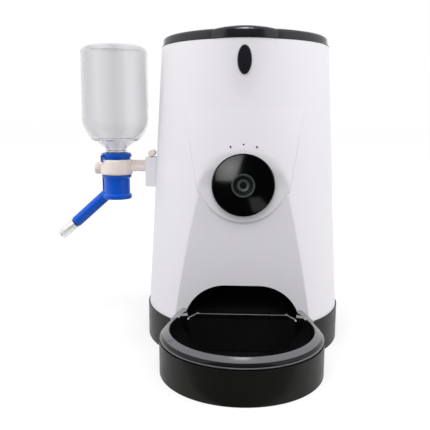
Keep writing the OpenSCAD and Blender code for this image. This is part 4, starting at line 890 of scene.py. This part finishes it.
class FeederCamera(Operator):
    """Build the domed camera window, the lens ring and the lens"""
    bl_idname = "feeder.camera"
    bl_label = "Camera"

    def execute(self, context):
        sizes = context.scene.feeder_camera
        seat_y = context.scene.feeder_body.bezel_y / MM
        z, d, t, crown, ring_d = mm(sizes, "height", "window_d", "window_t", "window_crown", "barrel_d")
        base = (0, -seat_y - 0.05, z)
        ahead = (0, -1, 0)
        r, ring_r = d / 2, ring_d / 2
        inner = ring_r + 0.05
        rows = 14
        dome = [inner + (r - inner) * i / rows for i in range(rows)]
        dome = [(spot, t + crown * (1 - (spot / r) ** 2)) for spot in dome]
        sunk, flange, depth = 0.6, 5, 16
        window = [(inner, -depth)] + dome
        window += [(r, t, 1.3), (r, -sunk), (r - flange, -sunk), (r - flange, -depth)]
        make_piece("camera_dome", lathe(window, base, ahead, 160, True), "camera_black", "housing",
                   "camera_window")
        front = t + crown - 0.5
        hole_r, rear_r = 3.7, 8.0
        ring = [(ring_r, -14), (ring_r, front, 0.7), (ring_r - 2, front, 0.5), (ring_r - 2.6, front - 2.2),
                (7.2, front - 3), (6.5, front - 2, 0.4), (hole_r, front - 2.8, 0.4), (hole_r, -6),
                (rear_r, -6), (rear_r, -14)]
        piece = make_piece("lens_ring", lathe(ring, base, ahead, 96, True), "inner_black", "housing",
                           "lens_barrel")

        def ring_finish(middle, normal):
            out = math.hypot(middle.x, middle.z - z)
            if normal.y >= -0.4:
                return 0
            if out > ring_r - 2.1:
                return 1
            return 2 if out < 6.9 else 0
        paint(piece, ("lens_metal", "lens_inner"), ring_finish)
        lens_r, rows = hole_r - 0.05, 8
        lens = [(lens_r * i / rows, front - 2.2 - 0.8 * (i / rows) ** 2) for i in range(rows + 1)]
        lens += [(lens_r, -5), (0, -5)]
        make_piece("lens_front", lathe(lens, base, ahead, 64), "lens", "housing", "lens_glass")
        return {"FINISHED"}


# Base and bowl


class FeederBase(Operator):
    """Round the edges of the base with its bowl holder"""
    bl_idname = "feeder.base"
    bl_label = "Base"

    def execute(self, context):
        base = softened("base_tray", "base_shell", 0.8)
        foot = min(v.co.z for v in base.data.vertices)
        # The wall ends just above the floor, so that a thin line of shadow shows under it
        for vert in base.data.vertices:
            if vert.co.z < foot + 0.05 * MM:
                vert.co.z = 0.4 * MM
        return {"FINISHED"}


class FeederBowl(Operator):
    """Build the smoked bowl with its rolled rim, rear tongue and corner ears"""
    bl_idname = "feeder.bowl"
    bl_label = "Food bowl"

    def execute(self, context):
        sizes = context.scene.feeder_bowl
        reach, lip, cut, wall = mm(sizes, "reach", "lip_z", "cut_y", "wall")
        bm = self.build_dish(sizes)
        bm = self.add_tongue(bm, sizes)
        bm = self.add_ears(bm, sizes)
        piece = make_piece("bowl_dish", bm, "smoked_bowl", "bowl", "food_bowl", crease=30)

        # Painted light on the crest and bead, painted shade on the skirt, painted highlight on the back's
        # strips and corners
        def bowl_painted_tones(middle, normal):
            out = math.hypot(middle.x, middle.y + reach)
            proud = abs(middle.y + cut + wall / 2) > wall / 2
            strip = middle.z > lip + 0.4 and proud and middle.y > -cut - 2 * wall
            corner = middle.z > lip + 1 and middle.y > -cut + 5
            crest = normal.z > 0.72 and middle.z > lip + 0.1
            bead = out > 87.2 and middle.z < lip - 3.6
            if strip or corner:
                return 3
            if crest or bead:
                return 1
            return 2 if out > 82.5 else 0
        paint(piece, ("bowl_rim_painted_light", "bowl_skirt_painted_shade", "bowl_edge_painted_highlight"), bowl_painted_tones)
        soften(piece, 0.35, 40)
        return {"FINISHED"}

    def build_dish(self, sizes):
        """The round dish with its rim, cut off flat at the back and closed there by a plate."""
        reach, low, high, lip, cut, wall = mm(sizes, "reach", "low_z", "high_z", "lip_z", "cut_y", "wall")
        centre = (0, -reach, 0)
        bend_z = 35.5
        outside = [(0, low), (54, low, 3), (77.7, bend_z, 1), (79.2, lip, 0.4), (83, lip - 1.6, 0.6),
                   (85.6, lip - 5, 0.3), (88.3, lip - 5, 0.3), (88.3, lip - 3.9, 0.3), (87.4, lip - 3.7),
                   (87.2, lip - 2.5, 0.6), (85.2, lip + 0.2, 0.8), (78, high, 2.0)]
        inside = [(75.7, bend_z, 4), (52, low + wall, 7), (0, low + wall)]
        bm = lathe(outside + inside, centre, steps=224, segments=5)
        flat_cut(bm, (0, -cut, 0), (0, 1, 0))
        plate = lathe([(0, low + 0.1), (53.9, low + 0.1), (77.5, bend_z), (79, lip), (0, lip)], centre,
                      steps=224)
        flat_cut(plate, (0, -cut - 0.05, 0), (0, 1, 0))
        flat_cut(plate, (0, -cut - wall, 0), (0, -1, 0))
        return joined(bm, plate)

    def add_tongue(self, bm, sizes):
        """The hollow tongue that reaches back under the mouth."""
        low, lip, cut, tongue, wall = mm(sizes, "low_z", "lip_z", "cut_y", "tongue_y", "wall")

        def plan(inset, front, z):
            half = [(62 - inset, -cut - front), (62 - inset, -cut), (54 - inset, -tongue - inset)]
            return [(x, y, z) for x, y in half] + [(-x, y, z) for x, y in reversed(half)]
        foot = Vector((0, -cut - 3 * wall, low))
        top = Vector((0, -tongue, lip - 2 * wall))
        below = Vector((0, top.z - foot.z, foot.y - top.y))
        shelf = prism(plan(0, 3 * wall, low + 0.2), (0, 0, lip + 1.1 - low))
        flat_cut(shelf, foot, below)
        hollow = prism(plan(wall, 4 * wall, low + wall), (0, 0, 60))
        flat_cut(hollow, foot + Vector((0, 0, 1.6 * wall)), below)
        return carved(joined(bm, shelf), hollow)

    def add_ears(self, bm, sizes):
        """The upright ears at the back, with the strips along them and the tongue's raised corners."""
        high, lip, cut, tongue, wall = mm(sizes, "high_z", "lip_z", "cut_y", "tongue_y", "wall")
        ear = [(61, lip - 3), (79, lip - 3), (76, high), (66, high + 6), (62, high + 3)]
        outer_strip = [(80, lip - 2), (82, lip - 0.5), (68, high + 8), (64, high + 8), (63, high + 6)]
        inner_strip = [(74, high - 1), (75, high + 1), (62, high + 3), (61.5, high)]
        corner = [(46, lip), (54, lip), (52.5, lip + 3.2)]
        plates = ((ear, cut, wall - 0.2), (outer_strip, cut - 0.2, wall + 0.3),
                  (inner_strip, cut - 0.1, wall + 0.4), (corner, tongue + 0.1, 1.2))
        for side in (-1, 1):
            for outline, back, deep in plates:
                front_view = [(side * x, -back - 0.1, z) for x, z in outline]
                bm = joined(bm, prism(front_view, (0, -deep, 0)))
        return bm


# Bottle, valve and bracket


class FeederBottle(Operator):
    """Build the blown bottle with its shoulder ledge, dished end and neck thread"""
    bl_idname = "feeder.bottle"
    bl_label = "Water bottle"

    def execute(self, context):
        sizes = context.scene.feeder_bottle
        x, d, neck_d, wall, punt, spread = mm(sizes, "axis_x", "body_d", "neck_d", "wall", "punt", "spread")
        mouth, neck_top, top = mm(sizes, "neck_z", "shoulder_z", "top_z")
        end_r, low_r, neck_r = d / 2, d / 2 + spread, neck_d / 2
        ledge_r, ledge_z = 25.5, neck_top + 9.1
        corner_z = ledge_z + 10
        outside = [(0, top - punt), (16, top - punt, 5), (27, top - 0.6, 5), (end_r, top - 1.2, 10),
                   (low_r, corner_z, 19), (ledge_r, ledge_z, 0.5), (ledge_r - 1, ledge_z - 0.2, 0.3),
                   (neck_r, neck_top, 1.5), (neck_r, neck_top - 1.5), (neck_r + 0.9, neck_top - 1.6, 0.4),
                   (neck_r + 0.9, neck_top - 4, 0.4), (neck_r, neck_top - 4), (neck_r, mouth)]
        inside = [(neck_r - wall, mouth), (neck_r - wall, neck_top + 0.6, 1.5),
                  (ledge_r - 1, ledge_z + 1.2, 1), (low_r - wall, corner_z + 0.4, 18),
                  (end_r - wall, top - 1.2 - wall, 7.4), (27, top - 0.6 - wall, 5),
                  (16, top - punt - wall, 5), (0, top - punt - wall)]
        bm = lathe(outside + inside, (-x, 0, 0), steps=160, segments=8)
        make_piece("bottle_blown", bm, "clear_bottle", "bottle", "water_bottle", crease=40)
        return {"FINISHED"}


class FeederValve(Operator):
    """Build the blue valve barrel with its collar and spout, and the steel nozzle"""
    bl_idname = "feeder.valve"
    bl_label = "Valve and nozzle"

    def execute(self, context):
        sizes = context.scene.feeder_valve
        x = context.scene.feeder_bottle.axis_x / MM
        barrel = self.build_barrel(sizes, x)
        make_piece("valve_barrel", barrel, "blue_valve", "valve", "valve_body", crease=30)
        nozzle_d, nozzle_l, ball_d = mm(sizes, "nozzle_d", "nozzle_l", "ball_d")
        low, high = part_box("nozzle_ball")
        ball = (low + high) / 2 / MM
        aim = (ball - Vector((-x, 0, 184))).normalized()
        end = ball - aim * (nozzle_l - 3.6)
        r, stem_r, ball_r = nozzle_d / 2, 4.25, ball_d / 2
        stem_end = 1.8
        tube = [(stem_r - 1.2, -12), (stem_r, -12, 0.3), (stem_r, stem_end), (r, stem_end, 0.5),
                (r, nozzle_l, 1.6), (ball_r - 0.8, nozzle_l, 0.5), (ball_r - 0.8, nozzle_l - 1.2),
                (ball_r + 0.25, nozzle_l - 1.2), (ball_r + 0.25, 4), (stem_r - 1.2, 4)]
        piece = make_piece("nozzle_steel", lathe(tube, end, aim, 96, True), "steel", "valve", "nozzle_tube",
                           crease=30)

        # The stem, in the gap behind the flange, takes the black rubber finish, which darkens that gap
        def nozzle_finish(middle, normal):
            return 1 if (middle - end).dot(aim) < stem_end - 0.01 else 0
        paint(piece, ("foot_rubber",), nozzle_finish)
        return {"FINISHED"}

    def build_barrel(self, sizes, x):
        """The barrel with its collar above and its lips below, a lug, the spout and the rib behind it."""
        d, collar_d, spout_d, spout_l = mm(sizes, "barrel_d", "collar_d", "spout_d", "spout_l")
        r, c, s = d / 2, collar_d / 2, spout_d / 2
        foot, top = 169, 227
        profile = [(0, foot), (c, foot, 1.6), (c, 174, 0.8), (r, 175.5, 0.8), (r, 195, 0.8), (c, 196.5, 0.6),
                   (c, 199.2, 0.3), (c - 2, 199.2), (c - 2, 219), (c - 1.2, 219.2), (c - 1.2, 220.8),
                   (c + 0.3, 221, 2.6), (c + 0.3, top, 2.8), (14.2, top, 0.5), (14.2, 205.5), (11.5, 205.5),
                   (11.5, 174), (0, 174)]
        bm = lathe(profile, (-x, 0, 0))
        lug_at = Matrix.Translation((-x, 0, 0)) @ Matrix.Rotation(math.radians(225), 4, "Z")
        for low, high in (((17, -1.3, 221.5), (22.6, 1.3, 224.5)), ((20.4, -1.3, 216), (22.6, 1.3, 224.5))):
            lug = block(low, high, 0.5)
            bmesh.ops.transform(lug, matrix=lug_at, verts=lug.verts)
            bm = joined(bm, lug)
        aim = Vector((-math.cos(sizes.spout_angle), 0, -math.sin(sizes.spout_angle)))
        spout = lathe([(0, 12), (s, 12), (s, spout_l, 0.7), (s - 2, spout_l, 0.2), (s - 2, 13), (0, 13)],
                      (-x, 0, 186), aim, 64)
        rib = block((-x - r - 2, -2.4, 173), (-x - r + 2, 2.4, 198.5), 0.6)
        return joined(bm, spout, rib)


class FeederBracket(Operator):
    """Build the ivory clamp bracket with its screw, and round the edges of its white socket"""
    bl_idname = "feeder.bracket"
    bl_label = "Bracket and socket"

    def execute(self, context):
        low, high = [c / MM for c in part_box("bottle_bracket")]
        x = -context.scene.feeder_bottle.axis_x / MM
        r_out = high.y
        r_in = r_out - 3
        z0, z1 = low.z + 10.6, low.z + 29.8
        past = 20
        arm_z = z0 + 4.5
        tail_x = high.x - 8
        tail_z = high.z - 4
        bm = lathe([(r_in, z0, 0.5), (r_out, z0, 2.4), (r_out, z1, 2.4), (r_in, z1, 0.5)], (x, 0, 0),
                   steps=96, closed=True)
        cheeks = block((low.x, -6, z0 + 1), (x - r_in - 0.5, 6, z1 - 4), 3.2)
        arm = block((x, -5, arm_z), (tail_x + 1, 5, arm_z + 7), 1.7)
        rib = block((x, -2.5, arm_z + 1), (tail_x + 1, 2.5, arm_z + 14), 1.0)
        for solid in (cheeks, arm, rib):
            bm = joined(bm, carved(solid, rod(r_in + 1, (x, 0, z0 - past), (x, 0, z1 + past), 96)))
        tail = block((tail_x, -9, low.z), (tail_x + 3, 9, tail_z), 0.8)
        knob = lathe([(0, -9), (4, -9, 1.2), (4, 9, 1.2), (0, 9)], (tail_x + 4, 0, tail_z), (0, 1, 0), 48)
        bm = joined(bm, tail, knob)
        split = block((x - 60, -1.5, z0 - past), (x, 1.5, z1 + past))
        clamp = Vector((low.x + 4, 0, (z0 + z1) / 2 - 1.5))
        across = Vector((0, past, 0))
        bm = carved(bm, split, rod(1.55, clamp - across, clamp + across, 32))
        make_piece("bracket_clamp", bm, "ivory_bracket", "bracket", "bottle_bracket", crease=30)
        head_r, shank_r, grip = 2.8, 1.5, 6.05
        screw = lathe([(0, -7.8), (head_r, -7.8, 0.8), (head_r, -grip, 0.2), (shank_r, -grip),
                       (shank_r, grip), (head_r, grip, 0.2), (head_r, 8.25, 0.6), (0, 8.25)],
                      clamp, (0, 1, 0), 40)
        make_piece("clamp_bolt", screw, "ivory_bracket", "bracket", "clamp_screw")
        softened("bracket_socket", "socket_plate", 1.0)
        return {"FINISHED"}


# Inner parts


class FeederWorks(Operator):
    """Give the carried-over inner parts their finishes"""
    bl_idname = "feeder.works"
    bl_label = "Inner parts"

    def execute(self, context):
        for node, piece in frame["nodes"].items():
            for place in piece.material_slots:
                place.material = finish(SLOT_OF[node])
        return {"FINISHED"}


class FeederSprings(Operator):
    """Replace the two small springs with copies that stand for their CAD nodes"""
    bl_idname = "feeder.springs"
    bl_label = "Springs"

    def execute(self, context):
        nozzle_angle = math.radians(40.5)
        inward = Vector((math.cos(nozzle_angle), 0, math.sin(nozzle_angle)))
        self.shorten("button_spring", "latch_spring", "button_press", Vector((0, -1, 0)), 2.5)
        self.shorten("nozzle_spring", "valve_spring", "ball_press", inward, 1.5)
        return {"FINISHED"}

    def shorten(self, node, name, joint, still_way, travel):
        """A copy of a spring that stands for its CAD node; joint, still_way and travel are not used."""
        bm = node_copy(node)
        piece = make_piece(name, bm, SLOT_OF[node], frame["nodes"][node]["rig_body"], node, scale=1)
        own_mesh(piece)


# Stage


class FeederStage(Operator):
    """Set the camera, the soft studio light and the white floor"""
    bl_idname = "feeder.stage"
    bl_label = "Stage"

    def execute(self, context):
        scene = context.scene
        scene.view_settings.view_transform = "Standard"
        data = bpy.data.cameras.new("Camera")
        data.sensor_width = 36.0
        data.lens = 48.4
        camera = bpy.data.objects.new("Camera", data)
        yaw, pitch, roll = math.radians(2.8), math.radians(80.5), math.radians(0.2)
        camera.matrix_world = (Matrix.Translation((0, -0.724, 0.270)) @ Matrix.Rotation(yaw, 4, "Z")
                               @ Matrix.Rotation(pitch, 4, "X") @ Matrix.Rotation(roll, 4, "Z"))
        scene.collection.objects.link(camera)
        scene.camera = camera
        self.light_world(scene)
        self.lay_floor()
        self.hang_flags()
        self.hang_lamps(scene)
        return {"FINISHED"}

    def light_world(self, scene):
        """White for the camera and in reflections, and a softer level that lights the object."""
        room = 0.5
        scene.world = bpy.data.worlds.new("Studio")
        scene.world.use_nodes = True
        tree = scene.world.node_tree
        tree.nodes.clear()
        shown = self.seen_rays(tree)
        level = add(tree, "ShaderNodeMapRange", {"Value": shown, "To Min": room, "To Max": 1.0})
        back = add(tree, "ShaderNodeBackground", {"Color": linear("#ffffff"),
                                                  "Strength": level.outputs["Result"]})
        add(tree, "ShaderNodeOutputWorld", {"Surface": back.outputs["Background"]})

    def seen_rays(self, tree):
        """One for rays that show the background: straight, mirrored or through something clear."""
        path = add(tree, "ShaderNodeLightPath")
        seen = add(tree, "ShaderNodeMath", {0: path.outputs["Is Camera Ray"],
                                            1: path.outputs["Is Transmission Ray"]}, operation="MAXIMUM")
        shown = add(tree, "ShaderNodeMath", {0: seen.outputs[0], 1: path.outputs["Is Glossy Ray"]},
                    operation="MAXIMUM")
        return shown.outputs[0]

    def lay_floor(self):
        """White paper that keeps the shadow: a glow, weaker near the object, tops its light up to white."""
        near_share = 0.7
        per_metre = 1.2
        floor = self.card("floor", (0, 0, 0), (0, 0, 1), 60, 60)
        made = bpy.data.materials.new("Paper_white_sweep")
        made.use_nodes = True
        tree = made.node_tree
        tree.nodes.clear()
        paper = add(tree, "ShaderNodeBsdfDiffuse", {"Color": linear("#a4a4a4")})
        place = add(tree, "ShaderNodeMapping", {"Vector": add(tree, "ShaderNodeTexCoord").outputs["Object"],
                                                "Scale": (per_metre,) * 3})
        near = add(tree, "ShaderNodeTexGradient", {"Vector": place.outputs["Vector"]},
                   gradient_type="SPHERICAL")
        share = add(tree, "ShaderNodeMapRange", {"Value": near.outputs["Fac"], "To Min": 1.0,
                                                 "To Max": near_share})
        level = add(tree, "ShaderNodeMath", {0: share.outputs["Result"], 1: self.seen_rays(tree)},
                    operation="MULTIPLY")
        glow = add(tree, "ShaderNodeEmission", {"Color": linear("#e8e8e8"), "Strength": level.outputs[0]})
        both = add(tree, "ShaderNodeAddShader", {0: paper.outputs[0], 1: glow.outputs[0]})
        add(tree, "ShaderNodeOutputMaterial", {"Surface": both.outputs[0]})
        made.cycles.emission_sampling = "NONE"
        floor.data.materials.append(made)

    def hang_flags(self):
        """Black cards in front, upright and flat, that only reflections see: they keep dark parts dark."""
        made = bpy.data.materials.new("Card_black_matt")
        made.use_nodes = True
        wire(made.node_tree, made.node_tree.nodes["Principled BSDF"],
             {"Base Color": linear("#080808"), "Specular IOR Level": 0.0})
        for name, place, facing, wide, tall in (("flag_upright", (0, -1.6, 0.9), (0, 1, 0), 3.2, 2.2),
                                                ("flag_flat", (0, -0.92, 0.0006), (0, 0, 1), 2.4, 1.41)):
            flag = self.card(name, place, facing, wide, tall)
            flag.data.materials.append(made)
            flag.visible_camera = False
            flag.visible_diffuse = False
            flag.visible_transmission = False
            flag.visible_shadow = False

    def card(self, name, place, facing, wide, tall):
        """A flat card of the stage."""
        bm = bmesh.new()
        turn = Vector(facing).to_track_quat("Z", "Y").to_matrix().to_4x4()
        bmesh.ops.create_grid(bm, x_segments=1, y_segments=1, size=0.5,
                              matrix=Matrix.Translation(place) @ turn @ Matrix.Diagonal((wide, tall, 1, 1)))
        made = loose(bm, name)
        return made

    def hang_lamps(self, scene):
        """Softboxes that light everything, and others that light some pieces and show in their gloss."""
        eye = ("camera_dome", "lens_ring")
        lid = ("lid_shell",)
        # Name, place, aim, width, height, watts and the pieces that alone it lights
        boxes = (("left", (-1.35, -0.35, 1.0), (0, -0.05, 0.22), 1.0, 1.2, 11.2, None),
                 ("right", (1.35, -0.25, 1.0), (0, -0.05, 0.22), 1.0, 1.2, 13.8, None),
                 ("above", (0.0, -0.1, 1.7), (0, 0, 0.2), 1.2, 1.2, 3.2, None),
                 ("front", (-0.1, -1.0, 1.7), (0, 0, 0.25), 1.2, 0.9, 14.4, None),
                 ("window", (-0.24, -1.1, 0.41), (-0.24, -0.1, 0.41), 0.52, 0.5, 3.7, eye),
                 ("glint", (0.12, -0.53, 0.003), (0.12, -0.53, 1.0), 0.12, 0.3, 0.07, eye),
                 ("back_left", (-0.613, 1.314, 1.036), (0, 0, 0.36), 0.86, 1.3, 6.5, lid),
                 ("back_right", (0.613, 1.314, 1.036), (0, 0, 0.36), 0.86, 1.3, 6.5, lid),
                 ("crest", (0.0, -1.28, 1.29), (0, -0.1, 0.36), 1.0, 0.25, 12.0, lid),
                 ("crest_core", (0.0, -1.27, 1.28), (0, -0.1, 0.36), 0.35, 0.25, 6.0, lid),
                 ("rim", (0.0, 0.2, 1.7), (0, -0.1, 0.05), 0.3, 0.3, 1.7, ("bowl_dish",)),
                 ("spout", (-0.5, -1.2, 0.9), (-0.22, -0.05, 0.13), 0.5, 0.5, 11.0, ("nozzle_steel",)))
        for name, place, aim, wide, tall, power, seen_by in boxes:
            data = bpy.data.lights.new("Softbox_" + name, "AREA")
            data.shape = "RECTANGLE"
            data.size = wide
            data.size_y = tall
            data.energy = power
            lamp = bpy.data.objects.new("Softbox_" + name, data)
            turn = (Vector(aim) - Vector(place)).to_track_quat("-Z", "Y")
            lamp.matrix_world = Matrix.Translation(place) @ turn.to_matrix().to_4x4()
            lamp.visible_camera = False
            lamp.visible_transmission = False
            lamp.visible_glossy = bool(seen_by)
            # The lid's lamps show in its gloss and leave its black as it is
            lamp.visible_diffuse = seen_by != lid
            scene.collection.objects.link(lamp)
            if seen_by:
                lit = bpy.data.collections.new("Lit_by_" + name)
                for piece in seen_by:
                    lit.objects.link(bpy.data.objects[piece])
                lamp.light_linking.receiver_collection = lit
            if name == "window":
                self.shape_glow(data)

    def shape_glow(self, data):
        """Leans the right edge of a softbox and dims it towards its corners."""
        data.use_nodes = True
        tree = data.node_tree
        place = add(tree, "ShaderNodeNewGeometry").outputs["Parametric"]
        split = add(tree, "ShaderNodeSeparateXYZ", {"Vector": place})
        lean = add(tree, "ShaderNodeMath", {0: split.outputs["Y"], 1: -0.31, 2: split.outputs["X"]},
                   operation="MULTIPLY_ADD")
        edge = add(tree, "ShaderNodeMapRange", {"Value": lean.outputs[0], "From Min": 0.66, "From Max": 0.7,
                                                "To Min": 1.0, "To Max": 0.0})
        middle = add(tree, "ShaderNodeMapping", {"Vector": place, "Location": (-0.5, -0.45, 0.0)})
        fall = add(tree, "ShaderNodeTexGradient", {"Vector": middle.outputs["Vector"]},
                   gradient_type="SPHERICAL")
        level = add(tree, "ShaderNodeMapRange", {"Value": fall.outputs["Fac"], "From Min": 0.4,
                                                 "To Min": 0.45, "To Max": 1.15})
        power = add(tree, "ShaderNodeMath", {0: edge.outputs["Result"], 1: level.outputs["Result"]},
                    operation="MULTIPLY")
        wire(tree, tree.nodes["Emission"], {"Strength": power.outputs[0]})


# Panel and registration

GROUPS = {
    "feeder_body": FeederBodySizes,
    "feeder_camera": FeederCameraSizes,
    "feeder_lid": FeederLidSizes,
    "feeder_bowl": FeederBowlSizes,
    "feeder_bottle": FeederBottleSizes,
    "feeder_valve": FeederValveSizes,
    "feeder_colours": FeederColours,
}
STEPS = (FeederWorks, FeederShell, FeederLid, FeederButton, FeederCamera, FeederBase, FeederBowl,
         FeederBottle, FeederValve, FeederBracket, FeederSprings, FeederStage)


class FeederPanel(Panel):
    """Sizes, colours and build steps of the pet feeder"""
    bl_idname = "VIEW3D_PT_feeder"
    bl_label = "Pet feeder"
    bl_space_type = "VIEW_3D"
    bl_region_type = "UI"
    bl_category = "Feeder"

    def draw(self, context):
        for step in STEPS:
            self.layout.operator(step.bl_idname)
        for name, group in GROUPS.items():
            column = self.layout.column(align=True)
            for field in group.__annotations__:
                column.prop(getattr(context.scene, name), field)


def register():
    for group in GROUPS.values():
        bpy.utils.register_class(group)
    for name, group in GROUPS.items():
        setattr(bpy.types.Scene, name, PointerProperty(type=group))
    for step in STEPS + (FeederPanel,):
        bpy.utils.register_class(step)


def unregister():
    for step in (FeederPanel,) + STEPS:
        bpy.utils.unregister_class(step)
    for name in GROUPS:
        delattr(bpy.types.Scene, name)
    for group in GROUPS.values():
        bpy.utils.unregister_class(group)


def main():
    register()
    bpy.ops.feeder.works()
    bpy.ops.feeder.shell()
    bpy.ops.feeder.lid()
    bpy.ops.feeder.button()
    bpy.ops.feeder.camera()
    bpy.ops.feeder.base()
    bpy.ops.feeder.bowl()
    bpy.ops.feeder.bottle()
    bpy.ops.feeder.valve()
    bpy.ops.feeder.bracket()
    bpy.ops.feeder.springs()
    bpy.ops.feeder.stage()


if __name__ == "__main__":
    main()
